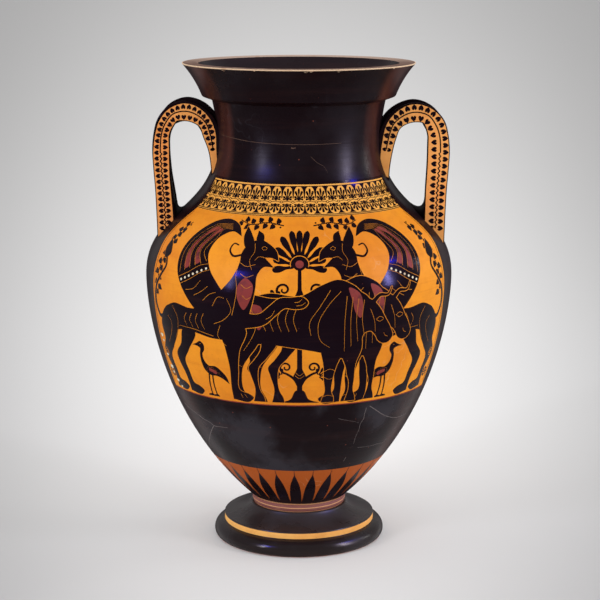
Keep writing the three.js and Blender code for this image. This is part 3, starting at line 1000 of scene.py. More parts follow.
class Wiring:
    """Adds nodes to one tree and joins them."""

    def __init__(self, tree: bpy.types.NodeTree, place: Socket | None = None) -> None:
        """Takes the tree to work in, and the place on the surface if it reads one."""
        self.tree = tree
        self.place = place

    def feed(self, socket: Socket, value: Value) -> None:
        """Links a socket to another one, or sets its value.

        Args:
            socket: The socket.
            value: A value, or the socket to link.
        """
        if isinstance(value, Socket):
            self.tree.links.new(value, socket)
        elif isinstance(value, tuple) and len(value) == 3 and socket.type == "RGBA":
            socket.default_value = (*value, 1.0)
        else:
            socket.default_value = value

    def node(self, kind: str, inputs: dict[str | int, Value] | None = None, **settings) -> bpy.types.Node:
        """Adds a node.

        Args:
            kind: Its type, without the leading ShaderNode.
            inputs: Values or sockets for its inputs, by name or number.
            settings: Its other properties.

        Returns:
            The node.
        """
        made = self.tree.nodes.new("ShaderNode" + kind)
        for name, value in settings.items():
            setattr(made, name, value)
        for name, value in (inputs or {}).items():
            self.feed(made.inputs[name], value)
        return made

    def use(self, shared: bpy.types.NodeTree, **inputs: Value) -> Sequence[Socket]:
        """Places a shared effect with its own values and gives its outputs.

        Args:
            shared: The effect's group.
            inputs: Values by name, with _ for a space.

        Returns:
            Its outputs.
        """
        made = self.node("Group", node_tree=shared)
        for name, value in {"Place": self.place, **inputs}.items():
            self.feed(made.inputs[name.replace("_", " ")], value)
        return made.outputs

    def math(self, operation: str, *values: Value) -> Socket:
        """Works out one step of arithmetic."""
        return self.node("Math", dict(enumerate(values)), operation=operation).outputs[0]

    def times(self, first: Value, second: Value) -> Socket:
        """Multiplies two numbers."""
        return self.math("MULTIPLY", first, second)

    def plus(self, first: Value, second: Value) -> Socket:
        """Adds two numbers."""
        return self.math("ADD", first, second)

    def minus(self, first: Value, second: Value) -> Socket:
        """Takes the second number from the first."""
        return self.math("SUBTRACT", first, second)

    def blend(self, share: Value, first: Value, second: Value) -> Socket:
        """Mixes two colours."""
        return self.node("Mix", {0: share, 6: first, 7: second}, data_type="RGBA").outputs[2]

    def span(self, value: Value, low: float, high: float, start: Value = 0.0, end: Value = 1.0) -> Socket:
        """Maps a value between low and high smoothly onto start to end."""
        inputs = {"Value": value, "From Min": low, "From Max": high, "To Min": start, "To Max": end}
        return self.node("MapRange", inputs, interpolation_type="SMOOTHSTEP").outputs[0]

    def noise(self, vector: Value, scale: Value, detail: float = 2.0, rough: float = 0.5) -> Socket:
        """Adds a noise texture and gives its value."""
        inputs = {"Vector": vector, "Scale": scale, "Detail": detail, "Roughness": rough}
        return self.node("TexNoise", inputs).outputs["Fac"]

    def cells(self, scale: Value) -> tuple[Socket, Sequence[Socket]]:
        """Adds scattered cells and gives the distance from their middles and three random values of each."""
        made = self.node("TexVoronoi", {"Vector": self.place, "Scale": scale}).outputs
        return made["Distance"], self.node("SeparateColor", {0: made["Color"]}).outputs

    def parts(self, vector: Value) -> Sequence[Socket]:
        """Gives a vector's three parts."""
        return self.node("SeparateXYZ", {0: vector}).outputs

    def vector(self, *parts: Value) -> Socket:
        """Puts a vector together."""
        return self.node("CombineXYZ", dict(enumerate(parts))).outputs[0]

    def length(self, vector: Value) -> Socket:
        """Gives a vector's length."""
        return self.node("VectorMath", {0: vector}, operation="LENGTH").outputs["Value"]

    def stretched(self, scale: Triple) -> Socket:
        """Scales the place along its three axes."""
        return self.node("VectorMath", {0: self.place, 1: scale}, operation="MULTIPLY").outputs[0]

    def finish(self, relief: Socket, depth: float, **inputs: Value) -> None:
        """Ends a material with its shader.

        Args:
            relief: Height of the surface.
            depth: Distance that a height of 1 stands for, in metres.
            inputs: Values and sockets of the shader.
        """
        bump = self.node("Bump", {"Strength": 1.0, "Distance": depth, "Height": relief})
        values = {name.replace("_", " "): value for name, value in inputs.items()}
        shader = self.node("BsdfPrincipled", {**values, "Normal": bump.outputs[0]})
        self.node("OutputMaterial", {"Surface": shader.outputs[0]})


class Effect(Wiring):
    """A node group that reads the place on the surface and gives masks or heights."""

    def __init__(self, name: str, inputs: dict[str, float], outputs: Sequence[str]) -> None:
        """Starts the group.

        Args:
            name: Its name.
            inputs: Default of each number that it takes.
            outputs: Names of the values that it gives.
        """
        tree = bpy.data.node_groups.new(name, "ShaderNodeTree")
        tree.interface.new_socket("Place", in_out="INPUT", socket_type="NodeSocketVector")
        for label, value in inputs.items():
            socket = tree.interface.new_socket(label, in_out="INPUT", socket_type="NodeSocketFloat")
            socket.default_value = value
        for label in outputs:
            tree.interface.new_socket(label, in_out="OUTPUT", socket_type="NodeSocketFloat")
        self.given = tree.nodes.new("NodeGroupInput").outputs
        self.end = tree.nodes.new("NodeGroupOutput")
        super().__init__(tree, self.given["Place"])

    def give(self, **outputs: Value) -> bpy.types.NodeTree:
        """Feeds the group's outputs and gives the finished group.

        Args:
            outputs: Value of each output.

        Returns:
            The group's tree.
        """
        for name, value in outputs.items():
            self.feed(self.end.inputs[name], value)
        return self.tree


class Effects:
    """Effects that several finishes share, each built once as a node group."""

    def __init__(self) -> None:
        """Builds the groups."""
        self.throwing = self.throwing_marks()
        self.grain = self.clay_grain()
        self.patches = self.kiln_patches()
        self.slip = self.slip_thickness()
        self.pits = self.small_pits()
        self.hairs = self.fine_scratches()

    def throwing_marks(self) -> bpy.types.NodeTree:
        """Builds the faint level ridges that the potter's fingers leave.

        Returns:
            The group.
        """
        wires = Effect("throwing marks", {"Pitch": 260.0, "Depth": 0.0002}, ["Height", "Mask"])
        x, y, z = wires.parts(wires.stretched((4.0, 4.0, 1.0)))
        spot = wires.vector(x, y, wires.times(z, wires.given["Pitch"]))
        ridges = wires.noise(spot, 1.0, rough=0.6)
        return wires.give(Mask=ridges, Height=wires.times(ridges, wires.given["Depth"]))

    def clay_grain(self) -> bpy.types.NodeTree:
        """Builds the fine grain of fired clay, with sparse dark specks.

        Returns:
            The group.
        """
        wires = Effect("clay grain", {"Fineness": 1400.0, "Depth": 0.00004}, ["Height", "Specks"])
        grain = wires.noise(wires.place, wires.given["Fineness"], 4.0, 0.6)
        distance, chance = wires.cells(wires.times(wires.given["Fineness"], 0.35))
        specks = wires.times(wires.span(distance, 0.12, 0.3, 1.0, 0.0), wires.span(chance[0], 0.86, 0.94))
        return wires.give(Specks=specks, Height=wires.times(grain, wires.given["Depth"]))

    def kiln_patches(self) -> bpy.types.NodeTree:
        """Builds large soft patches, where heat and smoke coloured the pot unevenly.

        Returns:
            The group.
        """
        wires = Effect("kiln patches", {"Scale": 9.0, "Low": 0.5, "High": 0.7}, ["Mask"])
        _, scale, low, high, *_ = wires.given
        lifted = wires.minus(wires.noise(wires.place, scale, 5.0, 0.55), low)
        share = wires.math("DIVIDE", lifted, wires.minus(high, low))
        return wires.give(Mask=wires.span(share, 0.0, 1.0))

    def slip_thickness(self) -> bpy.types.NodeTree:
        """Builds where the slip is thin and fired brown: brushed streaks, and stripes near the handles.

        Returns:
            The group.
        """
        wires = Effect("slip thickness", {"Streaks": 0.5, "Handle Zone": 0.5}, ["Thin"])
        brushed = wires.noise(wires.stretched((5.0, 5.0, 90.0)), 1.0, 4.0, 0.6)
        streaks = wires.times(wires.span(brushed, 0.5, 0.78), wires.given["Streaks"])
        x, y, _ = wires.parts(wires.place)
        reach = wires.math("MAXIMUM", wires.length(wires.vector(x, y)), 0.01)
        side = wires.math("DIVIDE", wires.math("ABSOLUTE", x), reach)
        zone = wires.times(wires.span(side, 0.74, 0.84), wires.span(side, 0.88, 0.95, 1.0, 0.3))
        runs = wires.noise(wires.stretched((26.0, 26.0, 3.0)), 1.0)
        zone = wires.times(zone, wires.span(runs, 0.3, 0.62, 0.35, 1.0))
        zone = wires.times(zone, wires.given["Handle Zone"])
        return wires.give(Thin=wires.math("MINIMUM", wires.plus(streaks, zone), 1.0))

    def small_pits(self) -> bpy.types.NodeTree:
        """Builds scattered pinholes and flaked spots.

        Returns:
            The group.
        """
        wires = Effect("small pits", {"Scale": 150.0, "Share": 0.1, "Size": 0.1}, ["Mask"])
        distance, chance = wires.cells(wires.given["Scale"])
        size = wires.times(wires.given["Size"], wires.plus(chance[1], 0.4))
        edge = wires.plus(distance, wires.times(wires.noise(wires.place, 900.0), 0.12))
        spot = wires.span(wires.minus(edge, size), 0.04, 0.09, 1.0, 0.0)
        return wires.give(Mask=wires.times(spot, wires.math("LESS_THAN", chance[0], wires.given["Share"])))

    def fine_scratches(self) -> bpy.types.NodeTree:
        """Builds hair-thin scratches and rubbed lines, gathered in a few places.

        Returns:
            The group.
        """
        wires = Effect("fine scratches", {"Scale": 34.0, "Width": 0.012}, ["Mask"])
        lines = wires.noise(wires.place, wires.given["Scale"], rough=0.4)
        off = wires.math("ABSOLUTE", wires.minus(lines, 0.5))
        thin = wires.minus(1.0, wires.math("DIVIDE", off, wires.given["Width"]))
        places = wires.span(wires.noise(wires.place, 17.0), 0.56, 0.68)
        return wires.give(Mask=wires.times(wires.math("MAXIMUM", thin, 0.0), places))


def new_material(name: str) -> tuple[bpy.types.Material, Wiring]:
    """Starts a material.

    Args:
        name: Its name.

    Returns:
        The material, and its wiring, which knows the place on the surface.
    """
    material = bpy.data.materials.new(name)
    material.use_nodes = True
    material.node_tree.nodes.clear()
    wires = Wiring(material.node_tree)
    wires.place = wires.node("TexCoord").outputs["Object"]
    return material, wires


@dataclass(frozen=True)
class BlackGloss:
    """Black gloss slip, thin and brown in places, greyed by the kiln in others."""

    name: str
    black: Triple = srgb(20, 7, 12)
    thin: Triple = srgb(100, 56, 47)
    ash: Triple = srgb(78, 76, 84)
    clay: Triple = srgb(132, 66, 48)
    roughness: float = 0.15
    gloss: float = 0.07
    sheen: Triple = (1.0, 1.0, 1.0)  # tint of what it mirrors
    streaks: float = 0.1
    handle_zone: float = 0.0
    ash_share: float = 0.37
    ash_turn: float = 0.55  # turns and lowers the grey patches round the pot
    ash_drop: float = -0.03
    ash_fade: Point = (0.21, 0.27)  # heights in metres between which they thin out
    dull_edge: float = 0.45  # how much duller the slip looks where it is seen from the side
    dull_span: Point = (0.62, 0.92)  # how far from the side that starts and is full

    def build(self, effects: Effects) -> bpy.types.Material:
        """Builds the material.

        Args:
            effects: The shared effects.

        Returns:
            The material.
        """
        material, wires = new_material(self.name)
        thin = wires.use(effects.slip, Streaks=self.streaks, Handle_Zone=self.handle_zone)[0]
        moved_place = wires.node("Mapping", {"Vector": wires.place, "Location": (0.0, 0.0, self.ash_drop),
                                             "Rotation": (0.0, 0.0, self.ash_turn)}).outputs[0]
        ash = wires.use(effects.patches, Place=moved_place, Scale=11.0, Low=0.44, High=0.66)[0]
        ash = wires.times(ash, wires.span(wires.parts(wires.place)[2], *self.ash_fade, 1.0, 0.2))
        cloud = wires.use(effects.patches, Scale=22.0, Low=0.35, High=0.7)[0]
        pits = wires.use(effects.pits, Scale=170.0, Share=0.03, Size=0.09)[0]
        hairs = wires.use(effects.hairs)[0]
        marks = wires.use(effects.throwing, Pitch=300.0, Depth=1.0)[0]
        grain = wires.use(effects.grain, Fineness=1100.0, Depth=1.0)[0]
        colour = wires.blend(thin, self.black, self.thin)
        colour = wires.blend(wires.times(ash, self.ash_share), colour, self.ash)
        colour = wires.blend(wires.times(hairs, 0.14), colour, self.ash)
        colour = wires.blend(pits, colour, self.clay)
        rough = wires.span(cloud, 0.0, 1.0, self.roughness, self.roughness + 0.06)
        rough = wires.plus(rough, wires.times(ash, 0.15))
        rough = wires.plus(rough, wires.times(pits, 0.3))
        facing_away = wires.node("LayerWeight", {"Blend": 0.5}).outputs["Facing"]
        rough = wires.plus(rough, wires.span(facing_away, *self.dull_span, 0.0, self.dull_edge))
        relief = wires.plus(marks, wires.times(grain, 0.12))
        relief = wires.minus(relief, wires.times(pits, 0.6))
        wires.finish(relief, 0.0001, Base_Color=colour, Roughness=rough, Specular_IOR_Level=self.gloss,
                     Specular_Tint=self.sheen)
        return material


@dataclass(frozen=True)
class FiredClay:
    """Bare clay, burnished and washed with ochre, with grain, specks, soft kiln patches and shade painted
    darker towards the base.
    """

    name: str
    body: Triple = srgb(250, 158, 40)
    deep: Triple = srgb(226, 126, 34)
    # colour of the shade painted towards the base, and also of fine patches and specks
    low: Triple = srgb(178, 88, 36)
    rubbed: Triple = srgb(236, 190, 140)
    painted_shade_heights: Point = (0.13, 0.2)  # heights in metres between which the shade painted with the colour low fades out
    roughness: float = 0.5
    gloss: float = 0.06

    def build(self, effects: Effects) -> bpy.types.Material:
        """Builds the material.

        Args:
            effects: The shared effects.

        Returns:
            The material.
        """
        material, wires = new_material(self.name)
        patches = wires.use(effects.patches, Scale=8.0, Low=0.38, High=0.72)[0]
        fine = wires.use(effects.patches, Scale=60.0, Low=0.4, High=0.75)[0]
        ridges, ridge_mask = wires.use(effects.throwing, Pitch=240.0, Depth=1.0)
        grain, specks = wires.use(effects.grain, Fineness=1400.0, Depth=1.0)
        hairs = wires.use(effects.hairs, Scale=40.0, Width=0.016)[0]
        height = wires.parts(wires.place)[2]
        colour = wires.blend(wires.times(patches, 0.7), self.body, self.deep)
        colour = wires.blend(wires.span(ridge_mask, 0.5, 0.8, 0.0, 0.35), colour, self.deep)
        # painted shade: darker, deeper clay towards the base, where the wall faces down
        colour = wires.blend(wires.span(height, *self.painted_shade_heights, 1.0, 0.0), colour, self.low)
        colour = wires.blend(wires.times(fine, 0.18), colour, self.low)
        colour = wires.blend(wires.times(specks, 0.5), colour, self.low)
        colour = wires.blend(wires.times(hairs, 0.3), colour, self.rubbed)
        rough = wires.span(fine, 0.0, 1.0, self.roughness, self.roughness + 0.12)
        relief = wires.plus(ridges, wires.times(grain, 0.25))
        wires.finish(relief, 0.00012, Base_Color=colour, Roughness=rough, Specular_IOR_Level=self.gloss)
        return material


@dataclass(frozen=True)
class AddedColour:
    """Matt red, purple or white laid over the black, rubbed through in places."""

    name: str
    body: Triple
    worn: Triple
    wear: float = 0.6
    roughness: float = 0.68
    gloss: float = 0.2
    far: Triple | None = None  # colour towards the back, where the rim is lighter
    far_span: Point = (-0.05, 0.14)  # places along Y in metres between which it comes in

    def build(self, effects: Effects) -> bpy.types.Material:
        """Builds the material.

        Args:
            effects: The shared effects.

        Returns:
            The material.
        """
        material, wires = new_material(self.name)
        rubbed = wires.use(effects.patches, Scale=90.0, Low=0.5, High=0.66)[0]
        cloud = wires.use(effects.patches, Scale=24.0, Low=0.4, High=0.7)[0]
        grain, specks = wires.use(effects.grain, Fineness=1600.0, Depth=1.0)
        wear = wires.times(rubbed, wires.span(cloud, 0.0, 1.0, self.wear * 0.3, self.wear))
        body = self.body
        if self.far:
            back = wires.span(wires.parts(wires.place)[1], *self.far_span)
            body = wires.blend(back, self.body, self.far)
        colour = wires.blend(wear, body, self.worn)
        colour = wires.blend(wires.times(specks, 0.4), colour, self.worn)
        relief = wires.minus(wires.times(grain, 0.5), wear)
        wires.finish(relief, 0.00008, Base_Color=colour, Roughness=self.roughness,
                     Specular_IOR_Level=self.gloss)
        return material


class Finishes:
    """All the finishes of the pot."""

    def __init__(self) -> None:
        """Builds each material once."""
        effects = Effects()
        self.wall = FiredClay("fired clay").build(effects)
        self.bright_clay = FiredClay("burnished clay band", body=srgb(255, 192, 108), deep=srgb(246, 168, 84),
                                     painted_shade_heights=BELOW).build(effects)
        self.flange_clay = FiredClay("handle clay", body=srgb(255, 178, 98), deep=srgb(250, 150, 76),
                                     painted_shade_heights=BELOW).build(effects)
        # the chain band's clay is paler and yellower than the panel's: light painted on the upward-facing
        # shoulder
        self.chain_clay_with_painted_light = FiredClay("chain ground with painted light", body=srgb(255, 186, 88),
                                    deep=srgb(244, 160, 66)).build(effects)
        self.body_black = BlackGloss("black gloss body", handle_zone=0.25).build(effects)
        self.neck_black = BlackGloss("black gloss neck", handle_zone=0.6, streaks=0.05,
                                     roughness=0.26).build(effects)
        self.inside_black = BlackGloss("black gloss inside", black=srgb(40, 31, 35),
                                       roughness=0.26).build(effects)
        self.handle_black = BlackGloss("black gloss handle", gloss=0.03, roughness=0.26,
                                       ash_share=0.2).build(effects)
        self.foot_black = BlackGloss("black gloss foot", black=srgb(33, 25, 27), roughness=0.18, gloss=0.17,
                                     ash_share=0.15, sheen=(1.0, 0.96, 0.84)).build(effects)
        # the foot's upward face is satin black slip; its black is lighter than the roll's, a painted sheen
        # for the light falling on it
        self.foot_top_black_with_painted_sheen = BlackGloss("black gloss foot top with painted sheen", black=srgb(50, 41, 42), roughness=0.2,
                                         gloss=0.16, ash_share=0.25).build(effects)
        self.paint_black = BlackGloss("black gloss paint", black=srgb(22, 9, 11), gloss=0.09, ash_share=0.1,
                                      sheen=(0.42, 0.42, 1.0)).build(effects)
        self.rim = AddedColour("worn rim", srgb(116, 88, 76), srgb(176, 142, 122), 0.8, 0.7, 0.06,
                               far=srgb(196, 170, 154)).build(effects)
        self.pale_line = AddedColour("pale line", srgb(238, 204, 168), srgb(196, 150, 114)).build(effects)
        self.tan_line = AddedColour("tan line", srgb(240, 178, 126), srgb(170, 108, 72)).build(effects)
        self.purple = AddedColour("purple fillet", srgb(140, 84, 76), srgb(184, 126, 104)).build(effects)
        self.red = AddedColour("dark red paint", srgb(140, 50, 40), srgb(58, 26, 24), 0.9).build(effects)
        self.white = AddedColour("white paint", srgb(236, 224, 196), srgb(190, 154, 112)).build(effects)
        self.crack = AddedColour("mended crack", srgb(124, 114, 112), srgb(66, 54, 54), 0.8).build(effects)
        self.faint_crack = AddedColour("faint crack", srgb(98, 72, 54), srgb(50, 34, 30), 0.9).build(effects)


# The pot

@dataclass
class Foot:
    """The foot in two degrees with its reserved band, and the fillet round the joint."""

    rest: Point = (82.0, 107.5)  # inner and outer radius of the resting ring
    upper_radius: float = 98.9
    lower_height: float = 20.5
    upper_height: float = 30.1
    edge_round: float = 1.2
    seat: Point = (63.5, 45.0)
    collar: Point = (60.0, 55.0)  # radius and top
    collar_inside: float = 50.3
    collar_bulge: float = 3.2
    hollow: float = 26.0
    bands: Triple = (1.2, 21.4, 28.6)  # where the lower black, the bare band and the upper black start
    stripes: tuple = (("collar_lower_stripe", 0.1, 0.5), ("collar_upper_stripe", 0.6, 0.96))
    columns: int = 288

    def profile(self) -> Profile:
        """Gives the foot's outer line from the resting ring to the seat.

        Returns:
            The line.
        """
        outer, radius, edge = self.rest[1], self.upper_radius, self.edge_round
        low, high = self.lower_height, self.upper_height
        return Profile([
            [(outer - 1.5, 0), (outer, 0), (outer + 1.4, 0.8)],
            [(outer + 1.4, 0.8), (outer + 6.8, 4.4), (outer + 6.8, low - 2.9), (radius + 1.6, low - 0.15)],
            [(radius + 1.6, low - 0.15), (radius, low), (radius, low + 1.0)],
            [(radius, low + 1.0), (radius, high - edge)],
            [(radius, high - edge), (radius, high), (radius - edge, high)],
            [(radius - edge, high), (radius * 0.8, high + edge), (67.1, 37.6), self.seat],
            [self.seat, (self.collar[0] + 0.4, self.seat[1])],
        ])

    def build(self, finishes: Finishes) -> None:
        """Builds foot, collar and what is painted on them.

        Args:
            finishes: The pot's finishes.
        """
        line, columns = self.profile(), self.columns
        inner, (_, seat) = self.rest[0], self.seat
        hollow = Profile([[(0, self.hollow), (inner * 0.75, self.hollow), (inner, 0)]])
        rows = [*hollow.rows(0, hollow.total, 4), (inner, 0, 0, -1), (self.rest[1] - 1.5, 0, 0, -1)]
        rows += line.rows(0, line.total, 1.0)
        rows += [(rows[-1][0], seat, 0, 1), (0, seat, 0, 1)]
        turned(rows, columns).build("foot_clay", finishes.wall, Slot.FIRED_CLAY, ["foot"])
        foot, low, high = (line.length_at(height) for height in self.bands)
        black, clay = Slot.BLACK_GLOSS, Slot.FIRED_CLAY
        ring("foot_roll_slip", line, (foot, low), finishes.foot_black, black, columns)
        ring("foot_band", line, (low, high), finishes.bright_clay, clay, columns, WASH)
        # the upward face's slip carries a painted sheen in its lighter black
        ring("foot_top_slip", line, (high, line.total), finishes.foot_top_black_with_painted_sheen, black, columns)
        self.build_collar(finishes)

    def build_collar(self, finishes: Finishes) -> None:
        """Builds the fillet with its two purple stripes.

        Args:
            finishes: The pot's finishes.
        """
        (radius, top), inner, foot = self.collar, self.collar_inside, self.seat[1]
        line = Profile([[(radius, foot), (radius + self.collar_bulge, (foot + top) / 2), (radius, top)]])
        rows = line.rows(0, line.total, 0.5)
        rows += [(radius, top, 0, 1), (inner, top, 0, 1), (inner, top, -1, 0), (inner, foot, -1, 0),
                 (inner, foot, 0, -1), (radius, foot, 0, -1)]
        turned(rows, self.columns).build("collar_clay", finishes.tan_line, Slot.FIRED_CLAY, ["foot_collar"])
        for name, *shares in self.stripes:
            low, high = (line.length_at(foot + (top - foot) * share) for share in shares)
            ring(name, line, (low, high), finishes.purple, Slot.PURPLE_SLIP, self.columns)


@dataclass
class Body:
    """The turned walls from the base to the rim, and the black ground painted round the panels."""

    stem_radius: float = 50.0
    stem_foot: float = 45.0
    base: Point = (60.9, 55.0)
    belly: Point = (198.3, 354.0)
    waist: Point = (105.6, 530.0)
    neck_top: Point = (111.2, 578.5)
    lip: Point = (123.8, 583.0)
    rim: Point = (149.4, 625.0)
    rim_width: float = 20.5
    wall: float = 8.5
    lean: float = math.radians(48.2)
    pulls: tuple = (0.5, 0.197, 0.466, 0.551)  # reach of the curve's controls, as shares of its height
    mouth_hollow: Point = (3.6, 2.2)  # how far the mouth's side sags in and up from straight
    joints: Triple = (318.0, 486.0, 536.0)
    throat: float = 571.5
    floor: float = 57.0
    rays_top: float = 118.5
    slip_inside: float = 122.0  # how far down the inside is black, from the rim
    columns: int = 336
    panel_columns: int = 132
    side_columns: int = 52
    corner: float = 1.1  # rounding of the lip's and the rim's edges

    def __post_init__(self) -> None:
        """Works out the outer and the inner line of the wall."""
        base, belly, waist, top, lip = self.base, self.belly, self.waist, self.neck_top, self.lip
        rim, c = self.rim, self.corner
        rise, shoulder = belly[1] - base[1], waist[1] - belly[1]
        lower, under, over, upper = self.pulls
        lower *= rise
        hollow = ((lip[0] + rim[0]) / 2 - self.mouth_hollow[0], (lip[1] + rim[1]) / 2 + self.mouth_hollow[1])
        inner = rim[0] - self.rim_width
        self.outer = Profile([
            [base, (base[0] + lower * math.sin(self.lean), base[1] + lower * math.cos(self.lean)),
             (belly[0], belly[1] - rise * under), belly],
            [belly, (belly[0], belly[1] + shoulder * over), (waist[0], waist[1] - shoulder * upper), waist],
            [waist, (waist[0], (waist[1] + top[1]) / 2), (top[0] - 0.25, top[1] - c)],
            [(top[0] - 0.25, top[1] - c), top, (top[0] + c, top[1] + 0.4)],
            [(top[0] + c, top[1] + 0.4), (lip[0] - c, lip[1] - 0.4)],
            [(lip[0] - c, lip[1] - 0.4), lip, (lip[0] + 0.45, lip[1] + c)],
            [(lip[0] + 0.45, lip[1] + c), hollow, (rim[0] - 0.75, rim[1] - c)],
            [(rim[0] - 0.75, rim[1] - c), rim, (rim[0] - c, rim[1])],
            [(rim[0] - c, rim[1]), (inner + c, rim[1])],
            [(inner + c, rim[1]), (inner, rim[1]), (inner - 0.5, rim[1] - c)],
        ])
        lined = self.outer.spots - self.outer.normals * self.wall
        heights = self.outer.spots[:, 1]
        kept = (heights > self.floor + 14) & (heights < self.throat + 3)
        run = [tuple(spot) for spot in lined[kept][::-2]]
        throat = run[0]
        self.lining = Profile([
            [(inner - 0.5, rim[1] - c), (inner - 10.2, rim[1] - 18.5), (throat[0], throat[1] + 20.5), throat],
            *([a, b] for a, b in zip(run, run[1:])),
            [run[-1], (run[-1][0] - 7, run[-1][1] - 8), (run[-1][0] * 0.6, self.floor), (0.0, self.floor)],
        ], steps=12)

    def lining_length(self, height: float) -> float:
        """Gives the length along the lining at which it passes a height on its way down."""
        heights = self.lining.spots[:, 1]
        return float(np.interp(-height, -heights, self.lining.lengths))

    def section(self, low: float, high: float) -> list[Row]:
        """Gives the closed section of a wall between two joints, as rows to turn.

        Args:
            low: Height of the lower joint.
            high: Height of the upper joint.

        Returns:
            The rows.
        """
        rows = self.outer.rows(self.outer.length_at(low), self.outer.length_at(high), 3.0)
        back = self.lining.rows(self.lining_length(high), self.lining_length(low), 4.0)
        return [*rows, (rows[-1][0], high, 0, 1), (back[0][0], high, 0, 1), *back,
                (back[-1][0], low, 0, -1), (rows[0][0], low, 0, -1)]

    def lowest_section(self) -> list[Row]:
        """Gives the section of the lower body with its stem and its floor.

        Returns:
            The rows.
        """
        radius, foot, (base, bottom), first = self.stem_radius, self.stem_foot, self.base, self.joints[0]
        rows = self.outer.rows(0, self.outer.length_at(first), 3.0)
        back = self.lining.rows(self.lining_length(first), self.lining.total, 4.0)
        stem = [(0, foot, 0, -1), (radius, foot, 0, -1), (radius, foot, 1, 0), (radius, bottom, 1, 0),
                (radius, bottom, 0, -1), (base, bottom, 0, -1)]
        return [*stem, *rows, (rows[-1][0], first, 0, 1), (back[0][0], first, 0, 1), *back]

    def highest_section(self) -> list[Row]:
        """Gives the section of the mouth.

        Returns:
            The rows.
        """
        low = self.joints[-1]
        rows = self.outer.rows(self.outer.length_at(low), self.outer.total, 1.5)
        back = self.lining.rows(0, self.lining_length(low), 3.0)
        return [*rows, *back[1:], (back[-1][0], low, 0, -1), (rows[0][0], low, 0, -1)]

    def build_walls(self, finishes: Finishes) -> None:
        """Builds the four thrown sections in bare clay.

        Args:
            finishes: The pot's finishes.
        """
        first, second, third = self.joints
        sections = {"body_lower": self.lowest_section(), "body_upper": self.section(first, second),
                    "neck": self.section(second, third), "mouth": self.highest_section()}
        for node, rows in sections.items():
            wall = turned(rows, self.columns, closed=node != "body_lower")
            wall.build(f"{node}_clay", finishes.wall, Slot.FIRED_CLAY, [node])

    def build_ground(self, panel: "Panel", finishes: Finishes) -> None:
        """Builds the black ground: round the panels, over neck and lip, and inside the mouth.

        Args:
            panel: Gives the panels' edges.
            finishes: The pot's finishes.
        """
        line, columns = self.outer, self.columns
        heights = (self.rays_top, panel.foot, panel.band_top, self.joints[1])
        marks = [line.length_at(height) for height in heights]
        rows = [line.at(marks[0])]
        for start, end in zip(marks, marks[1:]):
            rows += line.rows(start, end, 3.0)[1:]
        ground = Layer(SLIP)
        rings = [[ground.lay(row, angle) for angle in self.ground_angles(panel.edge(row[1]))] for row in rows]
        count = len(rings[0])
        for row, above, under, over in zip(rows, rows[1:], rings, rings[1:]):
            beside_panel = panel.foot < (row[1] + above[1]) / 2 < panel.band_top
            for column in range(count):
                if beside_panel and column % (self.panel_columns + self.side_columns) < self.panel_columns:
                    continue
                beside = (column + 1) % count
                ground.patch([under[column], under[beside], over[beside], over[column]])
        ground.skirt()
        ground.build("body_slip", finishes.body_black, Slot.BLACK_GLOSS)
        band = (line.length_at(panel.top), marks[2] + 0.5)
        edge, flat = line.length_at(self.rim[1] - 1.5), line.total - self.rim_width + 0.6
        black, clay = Slot.BLACK_GLOSS, Slot.FIRED_CLAY
        # clay ground of the chain band, with light painted into its paler colour
        ring("chain_ground", line, band, finishes.chain_clay_with_painted_light, clay, columns, WASH)
        ring("neck_slip", line, (marks[3], edge), finishes.neck_black, black, columns, step=1.5)
        ring("rim_wash", line, (flat, line.total), finishes.rim, clay, columns, 0.1)
        ring("rim_edge", line, (edge, flat), finishes.pale_line, clay, columns, WASH, 0.5)
        deep = (0.0, self.slip_inside)
        ring("mouth_inside_slip", self.lining, deep, finishes.inside_black, black, columns, step=2.0)

    def ground_angles(self, edge: float) -> list[float]:
        """Gives the angles of one ring of the ground, gathered at the panels' edges.

        Args:
            edge: Half the panel's angle.

        Returns:
            The angles.
        """
        corners = [-edge, edge, math.pi - edge, math.pi + edge, 2 * math.pi - edge]
        counts = [self.panel_columns, self.side_columns] * 2
        angles = []
        for start, end, count in zip(corners, corners[1:], counts):
            angles += [start + (end - start) * k / count for k in range(count)]
        return angles


